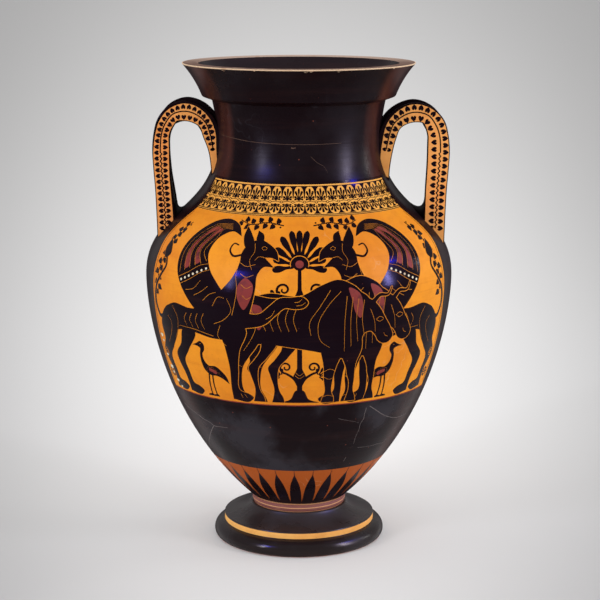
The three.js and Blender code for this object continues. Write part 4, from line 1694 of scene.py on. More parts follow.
@dataclass
class Panel:
    """A framed panel with the chain of palmettes above it, on the front and on the back."""

    wall: Profile
    foot: float = 217.0
    top: float = 447.0
    band_top: float = 483.0
    girth: float = 185.0
    band_girth: float = 127.0
    unit: float = 14.3  # width of one palmette of the chain
    line: float = 0.7
    inset: float = 4.5  # from the panel's side to its thin line
    edges: tuple = ((67.3, 217.0), (68.2, 280.0), (68.0, 340.0), (68.0, 390.0), (69.6, 414.0), (67.6, 436.0),
                    (65.0, 447.0, SHARP), (65.8, 483.0))  # half the panel's angle at each height

    def __post_init__(self) -> None:
        """Draws the side edge once."""
        self.edge_line = np.array(smooth(self.edges, closed=False, step=1.0))

    def edge(self, height: float) -> float:
        """Gives half the panel's angle at a height."""
        return math.radians(float(np.interp(height, self.edge_line[:, 1], self.edge_line[:, 0])))

    def frame(self, low: float, high: float, girth: float) -> tuple[Outline, float]:
        """Outlines the panel between two heights as it lies flat.

        Args:
            low: Height of the lower edge.
            high: Height of the upper edge.
            girth: Radius at which x is true.

        Returns:
            The outline, and the length along the wall where its y is 0.
        """
        start, end = self.wall.length_at(low), self.wall.length_at(high)
        rows = self.wall.rows(start, end, 2.0)
        steps = len(rows) - 1
        right = [(self.edge(row[1]) * girth, (end - start) * part / steps) for part, row in enumerate(rows)]
        return right + [(-x, y) for x, y in right[::-1]], start

    def build(self, finishes: Finishes) -> None:
        """Paints the panels and the chains on both sides.

        Args:
            finishes: The pot's finishes.
        """
        window, base = self.frame(self.foot, self.top, self.girth)
        band, band_base = self.frame(self.top, self.band_top, self.band_girth)
        border, chain = self.border(window), self.chain(band)
        looks = {Ink.BLACK: ("figures", finishes.paint_black, Slot.BLACK_GLOSS),
                 Ink.RED: ("red_paint", finishes.red, Slot.PURPLE_SLIP),
                 Ink.WHITE: ("white_paint", finishes.white, None)}
        for name, turn, figures in (("front", 0.0, front_scene()), ("back", math.pi, back_scene())):
            layers = Canvas(self.wall, base, self.girth, window, turn).paint([border, *figures])
            for ink, layer in layers.items():
                part, material, slot = looks[ink]
                layer.build(f"{name}_{part}", material, slot)
            canvas = Canvas(self.wall, band_base, self.band_girth, band, turn, grid=4.0)
            canvas.paint([chain])[Ink.BLACK].build(f"{name}_chain", finishes.paint_black, Slot.BLACK_GLOSS)

    def border(self, window: Outline) -> Figure:
        """Draws the thin lines that run just inside the panel's edges.

        Args:
            window: The panel's outline.

        Returns:
            The lines.
        """
        right = [(x - self.inset, y) for x, y in window[:len(window) // 2:4] if y > 2.0]
        reach = window[0][0]
        left = [(-x, y) for x, y in right]
        foot_line = bar(-reach, reach, 0.0, 1.3)
        lines = [stroke(right, self.line), stroke(left, self.line), foot_line]
        return Figure(lines, reds=[foot_line], halo=0.0)

    def chain(self, window: Outline) -> Figure:
        """Draws the chain of palmettes under arches, up and down from a row of links.

        Args:
            window: The band's outline.

        Returns:
            The chain.
        """
        figure = Figure(halo=0.0)
        reach, height = (max(values) for values in zip(*window))
        half = self.unit / 2
        upper, lower = 0.54 * height, 0.41 * height
        for low, high in ((0.3, 1.3), (2.3, 3.5), (height - 2.9, height - 1.9)):
            figure.fills.append(bar(-reach, reach, low, high))
        wedge = [(half - 4.4, 17.6, SHARP), (half - 2.2, 14.6), (half - 1.1, 9.0), (half - 0.6, 2.2, SHARP),
                 (half + 0.6, 2.2, SHARP), (half + 1.1, 9.0), (half + 2.2, 14.6), (half + 4.4, 17.6, SHARP)]
        element = palmette(7, (5.6, 15.6), 1.6, 80, 3.0) + [disc(0, 0.2, 1.5, 10), smooth(wedge, step=0.9)]
        link = stroke([polar(math.pi * k / 6, 1.5) for k in range(13)], 0.8)
        tie = stroke([(1.8 - half, 0), (0, 0.9), (half - 1.8, 0)], 0.8)
        count = math.ceil(reach / self.unit)
        for unit in range(-count, count + 1):
            x, middle = unit * self.unit, (upper + lower) / 2
            figure.fills += moved(element, x, upper)
            figure.fills += moved(element, x, lower, tall=-0.8)
            figure.fills += moved([link], x + half, middle)
            figure.fills += moved([tie], x, middle)
        return figure


@dataclass
class Rays:
    """The ring of tall black leaves that rises from the base."""

    wall: Profile
    foot: float = 57.5
    top: float = 118.5
    girth: float = 100.0
    count: int = 30
    start: float = math.radians(-2.9)
    tip: float = 111.5
    outline: tuple = ((0.45, 0.0), (0.44, 0.22), (0.39, 0.44), (0.29, 0.66), (0.13, 0.86), (0.0, 1.0))

    def build(self, finishes: Finishes) -> None:
        """Paints the rays.

        Args:
            finishes: The pot's finishes.
        """
        base, end = self.wall.length_at(self.foot), self.wall.length_at(self.top)
        height, tip = end - base, self.wall.length_at(self.tip) - base
        pitch = 2 * math.pi / self.count
        wide = pitch * self.girth
        figure = Figure(halo=0.0)
        for ray in range(self.count):
            x = (ray - (self.count - 1) / 2) * wide
            side = [(across * wide, along * tip) for across, along in self.outline[:-1]]
            right, left = [(x + a, b) for a, b in side], [(x - a, b) for a, b in side[::-1]]
            figure.fills.append(smooth([*right, (x, tip, SHARP), *left], step=1.5))
            thread = [(-0.5, tip - 6), (0.5, tip - 6), (0.2, height), (-0.2, height)]
            figure.fills.append([(x + a, b) for a, b in thread])
        window = bar(-math.pi * self.girth, math.pi * self.girth, 0, height)
        canvas = Canvas(self.wall, base, self.girth, window, self.start + pitch / 2, grid=3.0)
        canvas.paint([figure])[Ink.BLACK].build("rays", finishes.paint_black, Slot.BLACK_GLOSS)
        ring("base_line", self.wall, (0.0, base), finishes.tan_line, Slot.FIRED_CLAY, 288, 0.1, 0.5)


@dataclass
class Handle:
    """One upright handle: a strap between two flanges, with ivy painted on the flanges' faces."""

    side: Side
    wall: Profile
    start: float = 105.6  # distance from the axis at which the line's shares start
    span: float = 69.8  # how far out from there a share of 1 lies
    foot: float = 395.0
    top: float = 563.8
    root: float = 476.0  # height of the end on the neck
    leaf_pitch: float = 8.0
    leaf: float = 6.8
    leaf_outline: tuple = ((0.0, 0.52), (0.2, 0.36), (0.38, 0.14), (0.47, -0.12), (0.42, -0.38), (0.24, -0.5),
                           (0.08, -0.44), (0.0, -0.26))
    ivy_shares: Point = (0.07, 0.86)  # between these shares of the length grows the ivy
    stem_step: float = 1.6
    stem_halves: Point = (0.95, 0.8)  # half the stem's width on the rise, and after it
    sway: Point = (1.1, 1.6)  # how far the rising stem waves, and radians of its wave in a step
    stem_shift: float = -0.8  # how far the stem lies from the face's middle after the rise
    leaf_gap: float = 3.7  # from a leaf's middle to the edge of the face after the rise
    small_end: float = 12.0  # length before the end where the leaves are smaller
    small_leaf: float = 0.75
    face_lift: float = 0.1
    face_sunk: float = 0.4
    ivy_lift: float = 0.2
    depth: float = 60.0
    flange: float = 9.0
    width: float = 25.0
    strap: float = 12.0
    crown: float = 1.6
    edge_round: float = 1.7
    joint_round: float = 0.5  # of the flange's edges that meet the strap
    stations: int = 150
    tongue: float = 480.0  # height at which the bare face ends on the neck
    bare_margin: float = 1.3  # black left beside the bare face, towards the opening
    top_width: float = 1.04  # width over the top against the drawn one
    root_width: float = 1.0  # width at the neck against the drawn one
    slim: float = 0.0  # how much narrower the rising part is, on its inner side
    outer_margin: float = 0.4  # more black left outside the face from the top on
    root_margin: float = 2.6  # more black left beside the face at the neck
    leaf_reach: float = 5.6
    straight: float = 0.4  # share of the length that rises straight
    luting_size: float = 13.0
    flare: float = 3.2  # how much further the front flange reaches into the opening
    set_back: float = 0.8  # how much less the strap and the back flange do
    flare_start: float = 0.12  # share of the length at which that starts
    flare_end: float = 0.52  # share at which it ends
    flare_growth: float = 0.3  # share over which it grows
    flare_fade: float = 0.1  # share over which it fades
    sunk: float = 5.0  # how deep in the pot's wall the handle ends
    shoulder: Point = (354.0, 530.0)  # heights between which the pot only narrows
    loop_shares: tuple = (
        (0.937, 0, 0.96), (0.95, 0.207, 0.96), (0.966, 0.415, 0.98), (0.988, 0.563, 1), (1, 0.711, 1.02),
        (0.982, 0.82, 0.97), (0.914, 0.902, 1.03), (0.79, 0.969, 0.88), (0.585, 0.993, 0.95),
        (0.365, 0.969, 0.9), (0.191, 0.911, 0.9), (0.094, 0.818, 0.94),
    )
    root_shares: tuple = ((0.036, 0.35, 0.88), (0.007, 0.7, 0.8), (0.007, 1, 0.72))

    def __post_init__(self) -> None:
        """Works out the handle's middle line."""
        self.name = f"handle_{self.side.value}"
        self.sign = 1 if self.side is Side.RIGHT else -1
        rise = self.top - self.foot
        start = self.foot + rise * self.loop_shares[-1][1]
        rows = [(r, self.foot + rise * h, w * self.width * (self.top_width if h > 0.95 else 1.0))
                for r, h, w in self.loop_shares]
        rows += [(r, start + (self.root - start) * h, w * self.width * self.root_width)
                 for r, h, w in self.root_shares]
        line = np.array(self.centripetal([np.array((self.start + self.span * r, z, w)) for r, z, w in rows]))
        lengths = lengths_along(line[:, :2])
        self.length = float(lengths[-1])
        slopes = np.gradient(line[:, :2], lengths, axis=0)
        share = np.interp(lengths / self.length, (0.1, 0.3, 0.5, 0.64), (0.0, 1.0, 1.0, 0.0))
        trim = self.slim * eased(share)
        line[:, :2] -= np.column_stack([-slopes[:, 1], slopes[:, 0]]) * trim[:, None] / 2
        line[:, 2] -= trim
        self.lengths, self.line = lengths, line
        slopes = np.gradient(line[:, :2], lengths, axis=0)
        self.slopes = slopes / np.linalg.norm(slopes, axis=1)[:, None]

    def centripetal(self, rows: list[np.ndarray], steps: int = 24) -> list[np.ndarray]:
        """Draws the smooth line through rows of reach, height and width.

        Args:
            rows: The rows.
            steps: Points between two rows.

        Returns:
            The finer line.
        """
        padded = [2 * rows[0] - rows[1], *rows, 2 * rows[-1] - rows[-2]]
        line = []
        for a, b, c, d in zip(padded, padded[1:], padded[2:], padded[3:]):
            first, second, third = (math.sqrt(math.dist(p, q)) for p, q in ((a, b), (b, c), (c, d)))
            leave = ((b - a) / first - (c - a) / (first + second) + (c - b) / second) * second
            meet = ((c - b) / second - (d - b) / (second + third) + (d - c) / third) * second
            for t in (part / steps for part in range(steps)):
                line.append((2 * t**3 - 3 * t**2 + 1) * b + (t**3 - 2 * t**2 + t) * leave
                            + (3 * t**2 - 2 * t**3) * c + (t**3 - t**2) * meet)
        line.append(rows[-1])
        return line

    def wall_height(self, radius: float) -> float:
        """Gives the height of the shoulder at a radius.

        Args:
            radius: Distance from the pot's axis.

        Returns:
            The height.
        """
        heights = self.wall.spots[:, 1]
        spots = self.wall.spots[(heights > self.shoulder[0]) & (heights < self.shoulder[1])]
        return float(np.interp(-radius, -spots[:, 0], spots[:, 1]))

    def at(self, length: float) -> tuple[float, ...]:
        """Gives x, height, the direction inwards and the flange's width at a length along the line.

        Args:
            length: Length along the handle's line.

        Returns:
            The five values.
        """
        x, z, width = (float(np.interp(length, self.lengths, column)) for column in self.line.T)
        dx, dz = (float(np.interp(length, self.lengths, column)) for column in self.slopes.T)
        size = math.hypot(dx, dz)
        return x, z, -dz / size, dx / size, width

    def place(self, length: float, inward: float, y: float) -> Triple:
        """Gives a place in metres from a length along the line, a distance inwards and a depth."""
        x, z, inx, inz, _ = self.at(length)
        return self.sign * (x + inx * inward) * MM, y * MM, (z + inz * inward) * MM

    def direction(self, length: float, inward: float, y: float) -> Triple:
        """Gives a direction in space from its parts inwards and along Y."""
        _, _, inx, inz, _ = self.at(length)
        return self.sign * inx * inward, y, inz * inward

    def inner_half(self, length: float, front: bool) -> float:
        """Gives how far a flange or the strap reaches inwards from the handle's middle line.

        Args:
            length: Length along the handle's line.
            front: Whether it is the front flange, which reaches further.

        Returns:
            The distance.
        """
        share = length / self.length
        grow = max(0.0, min(1.0, (share - self.flare_start) / self.flare_growth))
        fade = max(0.0, min(1.0, (self.flare_end - share) / self.flare_fade))
        return self.at(length)[4] / 2 + eased(grow) * eased(fade) * (self.flare if front else -self.set_back)

    def flange_section(self, length: float, front: bool) -> list[Row]:
        """Gives a flange's rounded section as rows of inward distance, depth and normal.

        Args:
            length: Length along the handle's line.
            front: Whether it is the front flange.

        Returns:
            The rows.
        """
        wide, half = self.inner_half(length, front), self.at(length)[4] / 2
        outer, inner = self.depth / 2, self.depth / 2 - self.flange
        small, large = self.joint_round, self.edge_round
        corners = [(wide, inner, small, -90), (wide, outer, large, 0), (-half, outer, large, 90),
                   (-half, inner, small, 180)]
        rows = []
        for u, y, radius, start in corners:
            across, along = polar(math.radians(start + 45), 1.0)
            centre = (u - math.copysign(radius, across), y - math.copysign(radius, along))
            for angle in (math.radians(start + 90 * part / 4) for part in range(5)):
                rows.append((*polar(angle, radius, *centre), math.cos(angle), math.sin(angle)))
        return [(u, -y, nu, -ny) for u, y, nu, ny in rows] if front else rows

    def strap_section(self, length: float) -> list[Row]:
        """Gives the strap's section, crowned towards the neck and hollowed outside.

        Args:
            length: Length along the handle's line.

        Returns:
            The rows.
        """
        half = self.depth / 2 - self.flange
        inner = self.inner_half(length, False) - self.crown
        steps = 8
        rows = []
        for part in range(steps + 1):
            y = -half + 2 * half * part / steps
            slope = 2 * self.crown * y / half**2
            size = math.hypot(1, slope)
            rows.append((inner + self.crown * (1 - (y / half) ** 2), y, 1 / size, slope / size))
        return rows + [(u - self.strap, y, -nu, -ny) for u, y, nu, ny in rows[::-1]]

    def trimmed(self, places: np.ndarray) -> tuple[np.ndarray, np.ndarray]:
        """Shortens lines that run along the handle, so that each ends just inside the pot's wall.

        Args:
            places: Points in metres, by station and by line.

        Returns:
            The points on the shortened lines, and the old station of each.
        """
        spots, last = self.wall.spots[self.wall.rising], len(places) - 1
        walls = np.interp(places[:, :, 2] / MM, spots[:, 1], spots[:, 0])
        clear = np.hypot(places[:, :, 0], places[:, :, 1]) / MM - walls + self.sunk
        stations = np.empty(places.shape[:2])
        for line, gap in enumerate(clear.T):
            buried = np.nonzero(gap < 0)[0]
            ends = []
            for inner, side in ((buried[buried < last * 0.5], 1), (buried[buried > last * 0.7], -1)):
                edge = {1: 0, -1: last}[side]
                if len(inner):
                    under = inner.max() if side > 0 else inner.min()
                    edge = under + side * gap[under] / (gap[under] - gap[under + side])
                ends.append(edge)
            stations[:, line] = np.linspace(*ends, last + 1)
        return self.along(places, stations), stations

    def along(self, values: np.ndarray, stations: np.ndarray) -> np.ndarray:
        """Reads values by station and line at other stations of the same lines.

        Args:
            values: Points or directions, by station and line.
            stations: The stations to read at.

        Returns:
            The values there.
        """
        steps = np.arange(len(values))
        lines = [[np.interp(stations[:, k], steps, values[:, k, axis]) for axis in range(3)]
                 for k in range(values.shape[1])]
        return np.array(lines).transpose(2, 0, 1)

    def loft(self, section: Callable[[float], list[Row]]) -> Surface:
        """Sweeps a section along the handle's line, with both ends closed inside the wall.

        Args:
            section: Gives the section's rows at a length along the line.

        Returns:
            The swept surface.
        """
        surface = Surface()
        places, directions = [], []
        for station in range(self.stations + 1):
            length = self.length * station / self.stations
            rows = section(length)
            places.append([self.place(length, u, y) for u, y, _, _ in rows])
            directions.append([self.direction(length, nu, ny) for _, _, nu, ny in rows])
        cut, stations = self.trimmed(np.array(places))
        rings = [[surface.point(tuple(place)) for place in places] for places in cut.tolist()]
        normals = [[tuple(out) for out in row] for row in self.along(np.array(directions), stations).tolist()]
        surface.weave(rings, normals)
        for station, turn in ((0, -1.0), (self.stations, 1.0)):
            _, _, inx, inz, _ = self.at(self.length * station / self.stations)
            surface.face(rings[station], [(self.sign * inz * turn, 0.0, -inx * turn)] * len(rings[station]))
        return surface

    def build(self, finishes: Finishes) -> None:
        """Builds the strap, the flanges and their painted faces.

        Args:
            finishes: The pot's finishes.
        """
        gloss = (finishes.handle_black, Slot.BLACK_GLOSS)
        self.loft(self.strap_section).build(f"{self.name}_strap_slip", *gloss, [f"{self.name}_strap"])
        for place, front in (("front", True), ("back", False)):
            name = f"{self.name}_{place}_flange"
            self.loft(lambda length: self.flange_section(length, front)).build(f"{name}_slip", *gloss, [name])
            self.face_strip(front).build(f"{name}_face", finishes.flange_clay, Slot.FIRED_CLAY)
            self.ivy(front).build(f"{name}_ivy", finishes.paint_black, Slot.BLACK_GLOSS)
        self.luting().build(f"{self.name}_luting", *gloss)

    def sheet(self, surface: Surface, spots: Sequence[Point], y: float, sunk: float) -> None:
        """Adds a flat patch on a flange's face, with its edges reaching down into the flange.

        Args:
            surface: Takes the faces.
            spots: The patch's outline as length along the line and distance inwards.
            y: Depth of the patch.
            sunk: Depth where its edges end.
        """
        out = (0.0, 1.0 if y > 0 else -1.0, 0.0)
        top, low = ([surface.point(self.place(*spot, depth)) for spot in spots] for depth in (y, sunk))
        surface.face(top, [out] * len(top))
        for a, b, under_a, under_b in zip(top, top[1:] + top[:1], low, low[1:] + low[:1]):
            surface.faces.append((b, a, under_a, under_b))
            surface.normals.extend([out] * 4)

    def face_edges(self, length: float, front: bool) -> Point:
        """Gives how far inwards the painted face starts and ends at a length along the line.

        Args:
            length: Length along the handle's line.
            front: Whether it is the front flange.

        Returns:
            The inner and the outer edge.
        """
        half = self.at(length)[4] / 2
        margin, share = self.edge_round * 0.75, length / self.length
        above = min(1.0, share / self.straight)
        outer = self.outer_margin * float(np.interp(share, (0.38, 0.54), (0, 1)))
        outer += self.root_margin * float(np.interp(share, (0.66, 0.82), (0, 1)))
        inner = self.bare_margin + (margin - self.bare_margin) * above
        return min(half, self.inner_half(length, front)) - inner, margin - half + outer

    def face_strip(self, front: bool) -> Surface:
        """Builds the bare clay face of a flange.

        Args:
            front: Whether it is the front flange.

        Returns:
            The strip.
        """
        surface = Surface()
        sign = -1 if front else 1
        y, sunk = (self.depth / 2 + self.face_lift) * sign, (self.depth / 2 - self.face_sunk) * sign
        end = float(self.lengths[np.nonzero(self.line[:, 1] > self.tongue)[0][-1]])
        places = []
        for station in range(self.stations + 1):
            length = end * station / self.stations
            near, far = self.face_edges(length, front)
            near += max(0.0, self.inner_half(length, front) - self.at(length)[4] / 2)
            edges = ((near, sunk), (near, y), (far, y), (far, sunk))
            places.append([self.place(length, *edge) for edge in edges])
        cut = self.trimmed(np.array(places))[0].tolist()
        rows = [[surface.point(tuple(place)) for place in row] for row in cut]
        surface.weave(rows, [[(0.0, float(sign), 0.0)] * 4] * len(rows), closed=False)
        return surface

    def ivy(self, front: bool) -> Surface:
        """Paints two rows of heart-shaped leaves on both sides of a stem.

        Args:
            front: Whether it is the front flange.

        Returns:
            The painted ivy.
        """
        surface = Surface()
        sign = -1 if front else 1
        y, sunk = (self.depth / 2 + self.ivy_lift) * sign, (self.depth / 2 - self.ivy_lift) * sign
        start, end = (self.length * share for share in self.ivy_shares)
        leaf = [*self.leaf_outline, *((-a, b) for a, b in self.leaf_outline[-2:0:-1])]
        for side in (-1, 1):
            for length, reach, stretch in self.leaf_row(start, end, side, front):
                scale = self.leaf * (1.0 if length < end - self.small_end else self.small_leaf)
                spots = [(length + a * scale * stretch, reach + side * b * scale) for a, b in leaf]
                self.sheet(surface, spots, y, sunk)
        steps = round((end - start) / self.stem_step)
        stem = []
        for step in range(steps + 1):
            length = start + (end - start) * step / steps
            straight = length < self.length * self.straight
            near, far = self.face_edges(length, front)
            shift = self.sway[0] * math.sin(self.sway[1] * step) if straight else self.stem_shift
            stem.append((length, (near + far) / 2 + shift, self.stem_halves[0 if straight else 1]))
        for (a, low, thin), (b, high, thick) in zip(stem, stem[1:]):
            spots = [(a, low - thin), (b, high - thick), (b, high + thick), (a, low + thin)]
            self.sheet(surface, spots, y, sunk)
        return surface

    def leaf_row(self, start: float, end: float, side: int, front: bool) -> list[Triple]:
        """Spaces a row of leaves evenly along its own side of the stem.

        Args:
            start: Length along the handle's line at which it starts.
            end: Length at which it ends.
            side: -1 for the outer row, 1 for the inner one.
            front: Whether it is painted on the front flange.

        Returns:
            Each leaf's length along the line, distance inwards, and length of line for each millimetre.
        """
        lengths = np.linspace(start, end, 160)
        reaches = []
        for length in lengths:
            near, far = self.face_edges(length, front)
            bend = float(np.interp(length / self.length, (0.2, self.straight + 0.04), (0, 1)))
            reach = self.leaf_reach + ((near - far) / 2 - self.leaf_gap - self.leaf_reach) * bend
            reaches.append((near + far) / 2 + side * reach)
        spots = np.array([self.place(length, reach, 0.0) for length, reach in zip(lengths, reaches)]) / MM
        run = lengths_along(spots)
        count = round(run[-1] / self.leaf_pitch)
        stretches = np.gradient(lengths, run)
        places = np.arange(count + 1) * run[-1] / count
        return [tuple(float(np.interp(place, run, values)) for values in (lengths, reaches, stretches))
                for place in places]

    def luting(self) -> Surface:
        """Builds the clay pressed into the corner between shoulder and strap, below the opening.

        Returns:
            The clay's surface.
        """
        surface = Surface()
        steps, across = 8, 20
        half = self.depth / 2
        foot = self.at(self.length * 0.02)[0] - self.width / 2 + 1.0
        rows, normals = [], []
        for part in range(across + 1):
            y = -half + 2 * half * part / across
            size = self.luting_size * max(0.05, 1 - abs(y / half) ** 5)
            corner = math.hypot(foot, y)
            z, inner = self.wall_height(corner), corner - size
            curve = [(math.sqrt(inner**2 - y**2), self.wall_height(inner) - 0.4), (foot - 0.4, z),
                     (foot + 0.6, z + size * 1.2)]
            rows.append([])
            normals.append([])
            for t in (step / steps for step in range(steps + 1)):
                x, height = bezier(curve, t)
                a, b = bezier(curve, max(0.0, t - 0.02)), bezier(curve, min(1.0, t + 0.02))
                lean = math.dist(a, b)
                rows[-1].append(surface.point((self.sign * x * MM, y * MM, height * MM)))
                normals[-1].append((self.sign * (a[1] - b[1]) / lean, 0.0, (b[0] - a[0]) / lean))
        surface.weave(list(zip(*rows)), list(zip(*normals)), closed=False)
        return surface


@dataclass
class Cracks:
    """The mended breaks that still show as thin lines in the black."""

    wall: Profile
    girth: float = 150.0
    lines: tuple = (  # width, and points of angle and height
        (0.9, ((-66, 194), (-60, 188.5), (-54.6, 185), (-51.4, 181.4), (-47.2, 179), (-44.7, 175.5),
               (-40.4, 176), (-35.8, 177))),
        (0.9, ((-44.7, 175.5), (-48, 168), (-51, 161), (-55, 152), (-58.7, 145), (-62, 137), (-64, 131))),
        (0.5, ((30.2, 208), (30, 200), (30.2, 193), (29.3, 186), (29.4, 176), (28.8, 167), (29, 156))),
        (0.5, ((27.4, 136), (26.5, 128), (26.4, 120))),
        (0.75, ((31.7, 210), (35.5, 203), (40.9, 193.5), (45.8, 187.5), (51.3, 183), (56.8, 181.5),
                (62, 182))),
        (0.45, ((32.6, 148.8), (38.2, 147.6), (43.4, 147), (47.3, 147.3), (52.2, 146.5), (55, 150))),
        (0.3, ((17.6, 197), (22.6, 192.7), (28.1, 188))),
    )
    faint_lines: tuple = (
        (0.6, ((-66, 536.5), (-50, 535), (-36, 533.0), (-15, 531.5), (8, 531.0), (30, 531.5))),
        (0.4, ((8, 516), (12, 509), (17, 503), (19, 496))),
        (1.6, ((-5, 527), (-3.5, 526.5), (-2, 527.2))),
    )
    rim_height: float = 623.4
    chips: tuple = ((-38.0, 2.1), (3.4, 2.0), (5.8, 1.3), (19.0, 1.5), (-21.0, 0.8), (52.0, 1.1),
                    (140.0, 1.6), (-110.0, 1.4))  # angle and size
    flakes: tuple = ((-65.0, 287.0, 2.0), (-64.6, 280.0, 1.3), (-63.8, 262.0, 1.4), (-63.0, 246.0, 2.2),
                     (-62.6, 239.0, 1.4), (-61.0, 229.0, 1.8), (-59.0, 222.0, 1.2))  # angle, height and size

    def build(self, finishes: Finishes) -> None:
        """Lays the lines, the chips of the lip's edge and the flaked spots onto the slip.

        Args:
            finishes: The pot's finishes.
        """
        foot, reach = 130.0, math.pi * self.girth
        grey = [self.crack(width, points, foot) for width, points in self.lines]
        faint = [self.crack(width, points, foot) for width, points in self.faint_lines]
        spots = [self.flake(angle, height, size, foot) for angle, height, size in self.flakes]
        rim = [self.flake(angle, self.rim_height, size, self.rim_height) for angle, size in self.chips]
        whole, edge = bar(-reach, reach, 0.0, 520.0), bar(-reach, reach, -4.0, 2.0)
        for name, outlines, window, low, lift, material in (
            ("cracks", grey, whole, foot, 0.17, finishes.crack),
            ("faint_cracks", faint, whole, foot, 0.17, finishes.faint_crack),
            ("flaked_spots", spots, whole, foot, 0.24, finishes.white),
            ("rim_chips", rim, edge, self.rim_height, 0.2, finishes.pale_line),
        ):
            canvas = Canvas(self.wall, self.wall.length_at(low), self.girth, window, lift=lift, grid=40.0)
            canvas.paint([Figure(outlines, halo=0.0)])[Ink.BLACK].build(name, material, None)

    def flat(self, angle: float, height: float, foot: float) -> Point:
        """Gives where an angle in degrees and a height lie on the wall as it is laid flat."""
        return math.radians(angle) * self.girth, self.wall.length_at(height) - self.wall.length_at(foot)

    def crack(self, width: float, points: tuple, foot: float) -> Outline:
        """Outlines a crack through points, each an angle in degrees and a height."""
        return stroke([self.flat(angle, height, foot) for angle, height in points], width, width * 0.6)

    def flake(self, angle: float, height: float, size: float, foot: float) -> Outline:
        """Outlines a spot where a bit of the surface is gone.

        Args:
            angle: Angle round the pot in degrees.
            height: Its height.
            size: Its size.
            foot: Height where the canvas starts.

        Returns:
            The outline.
        """
        x, y = self.flat(angle, height, foot)
        shape = ((-1.6, 1.0), (0.0, 1.1), (1.3, 1.0), (1.1, -0.5), (-0.3, -1.2), (-1.4, -0.3))
        return smooth([(x + a * size, y + b * size) for a, b in shape], step=0.8)


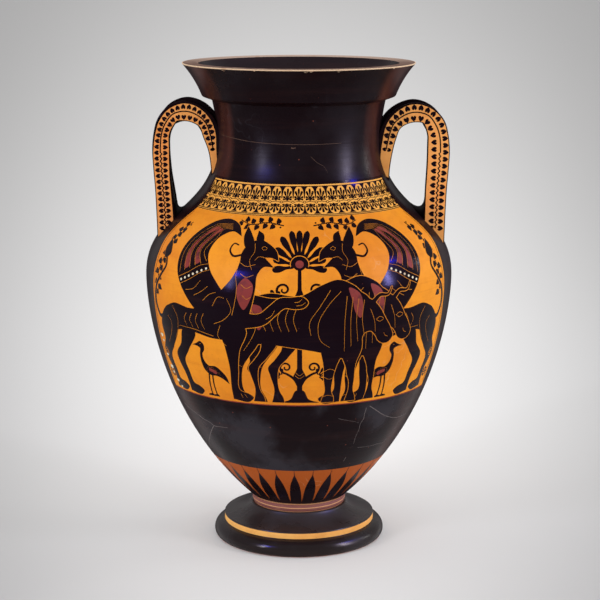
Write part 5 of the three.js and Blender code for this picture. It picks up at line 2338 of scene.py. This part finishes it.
@dataclass
class Studio:
    """Camera, lamps, world and the pale floor, with a pool of light painted on it."""

    camera_place: Triple = (0.0015, -2.269, 0.771)
    camera_pitch: float = 11.35
    lens: float = 106.08
    floor_size: float = 60.0
    world_light: float = 0.86
    background: Triple = (0.42, 0.415, 0.415)
    light_pool_start: float = 2.3  # the pool of light painted on the floor widens from this far before the pot
    light_pool_width: float = 0.165  # half its width for each metre of that distance
    light_pool_middle: float = 3.28  # the same distance, where the painted pool of light is palest
    light_pool_depth: float = 1.175
    painted_light_pool_colour: Triple = (1.0, 0.99, 0.985)
    floor_colour: Triple = (0.47, 0.465, 0.465)
    lamps: tuple = (
        # name, angle round the pot, height, width, tall, strength, colour, seen only as a highlight
        ("left_softbox", -50.0, 0.95, 0.1, 0.85, 11.0, (0.94, 0.95, 1.0), False),
        ("right_softbox", 66.0, 0.95, 0.1, 0.85, 11.0, (0.94, 0.95, 1.0), False),
        ("left_strip", -50.0, 0.95, 0.16, 1.15, 19.0, (0.74, 0.64, 1.0), True),
        ("right_strip", 67.0, 1.05, 0.16, 1.3, 60.0, (0.76, 0.66, 1.0), True),
        ("far_right_strip", 103.0, 0.8, 0.03, 0.7, 5.0, (1.0, 1.0, 1.0), False),
        ("left_blue", -46.5, 1.33, 0.4, 0.2, 25.0, (0.03, 0.04, 1.0), True),
        ("right_blue", 79.0, 1.72, 0.4, 0.2, 24.0, (0.03, 0.04, 1.0), True),
    )
    lamp_distance: float = 2.2
    aim_height: float = 0.36  # where the lamps point

    def build(self) -> None:
        """Builds all of it."""
        self.build_camera()
        self.build_floor()
        self.build_world()
        for name, angle, height, width, tall, power, colour, highlight in self.lamps:
            lamp = self.build_lamp(name, (angle, height), (width, tall), power, colour)
            lamp.visible_diffuse = not highlight

    def build_camera(self) -> None:
        """Sets the camera at the photograph's viewing angle."""
        data = bpy.data.cameras.new("camera")
        data.lens = self.lens
        data.sensor_width = 36.0
        camera = bpy.data.objects.new("camera", data)
        camera.location = self.camera_place
        camera.rotation_euler = (math.radians(90 - self.camera_pitch), 0, 0)
        bpy.context.scene.collection.objects.link(camera)
        bpy.context.scene.camera = camera

    def build_floor(self) -> None:
        """Lays the pale floor, with a pool of light painted into its colour round the pot."""
        half = self.floor_size / 2
        corners = [(-half, -half, 0), (half, -half, 0), (half, half, 0), (-half, half, 0)]
        mesh = bpy.data.meshes.new("floor")
        mesh.from_pydata(corners, [], [(0, 1, 2, 3)])
        material, wires = new_material("floor paper")
        x, y, _ = wires.parts(wires.place)
        # painted pool of light: the floor's colour is palest in a pool behind the pot and dims away from it
        reach = wires.math("MAXIMUM", wires.plus(y, self.light_pool_start), 0.3)
        across = wires.math("DIVIDE", wires.math("DIVIDE", x, reach), self.light_pool_width)
        along = wires.minus(wires.math("DIVIDE", self.light_pool_middle, reach), 1.0)
        away = wires.length(wires.vector(across, wires.times(along, self.light_pool_depth)))
        colour = wires.blend(wires.span(away, 0.25, 1.6), self.painted_light_pool_colour, self.floor_colour)
        grain = wires.noise(wires.place, 700.0, 3.0)
        wires.finish(grain, 0.0001, Base_Color=colour, Roughness=0.9, Specular_IOR_Level=0.1)
        mesh.materials.append(material)
        floor = bpy.data.objects.new("floor", mesh)
        bpy.context.scene.collection.objects.link(floor)

    def build_world(self) -> None:
        """Lights the scene evenly and shows the pale background to camera, glossy and clear rays."""
        world = bpy.data.worlds.new("studio")
        world.use_nodes = True
        world.node_tree.nodes.clear()
        wires = Wiring(world.node_tree)
        path = wires.node("LightPath").outputs
        seen = wires.math("MAXIMUM", path["Is Camera Ray"], path["Is Glossy Ray"])
        seen = wires.math("MAXIMUM", seen, path["Is Transmission Ray"])
        light = (self.world_light, self.world_light, self.world_light)
        colour = wires.blend(seen, light, self.background)
        shader = wires.node("Background", {"Color": colour, "Strength": 1.0})
        wires.node("OutputWorld", {"Surface": shader.outputs[0]})
        bpy.context.scene.world = world

    def build_lamp(self, name: str, place: Point, size: Point, power: float,
                   colour: Triple) -> bpy.types.Object:
        """Places a lamp that faces the pot.

        Args:
            name: Its name.
            place: Angle round the pot in degrees, and height in metres.
            size: Width and height in metres.
            power: In watts.
            colour: Its light's colour.

        Returns:
            The lamp.
        """
        data = bpy.data.lights.new(name, "AREA")
        data.shape = "RECTANGLE"
        data.size, data.size_y = size
        data.energy = power
        data.color = colour
        lamp = bpy.data.objects.new(name, data)
        turn = math.radians(place[0])
        lamp.location = (self.lamp_distance * math.sin(turn), -self.lamp_distance * math.cos(turn), place[1])
        aim = Vector((0, 0, self.aim_height)) - lamp.location
        lamp.rotation_euler = aim.to_track_quat("-Z", "Y").to_euler()
        bpy.context.scene.collection.objects.link(lamp)
        return lamp


def main() -> None:
    """Builds the pot and the studio in order."""
    logging.basicConfig(level=logging.INFO, format="%(name)s: %(message)s")
    bpy.context.scene.view_settings.view_transform = "Standard"
    finishes = Finishes()
    Studio().build()
    Foot().build(finishes)
    body = Body()
    body.build_walls(finishes)
    panel = Panel(body.outer)
    body.build_ground(panel, finishes)
    panel.build(finishes)
    Rays(body.outer).build(finishes)
    Cracks(body.outer).build(finishes)
    left = Handle(Side.LEFT, body.outer, start=103.6, span=70.0, top=566.6, leaf_pitch=7.4, leaf=6.3,
                  bare_margin=3.6, root_width=0.8, top_width=1.1, outer_margin=2.4, root_margin=3.8,
                  leaf_reach=4.8, slim=3.6, tongue=486.0, flare=0.6, set_back=3.0)
    right = Handle(Side.RIGHT, body.outer, span=73.6, top=564.4, leaf_pitch=9.0, leaf=7.2, root_margin=5.5,
                   luting_size=24.0, leaf_reach=6.0, flare_start=-0.3, flare_end=0.545)
    left.build(finishes)
    right.build(finishes)


if __name__ == "__main__":
    main()
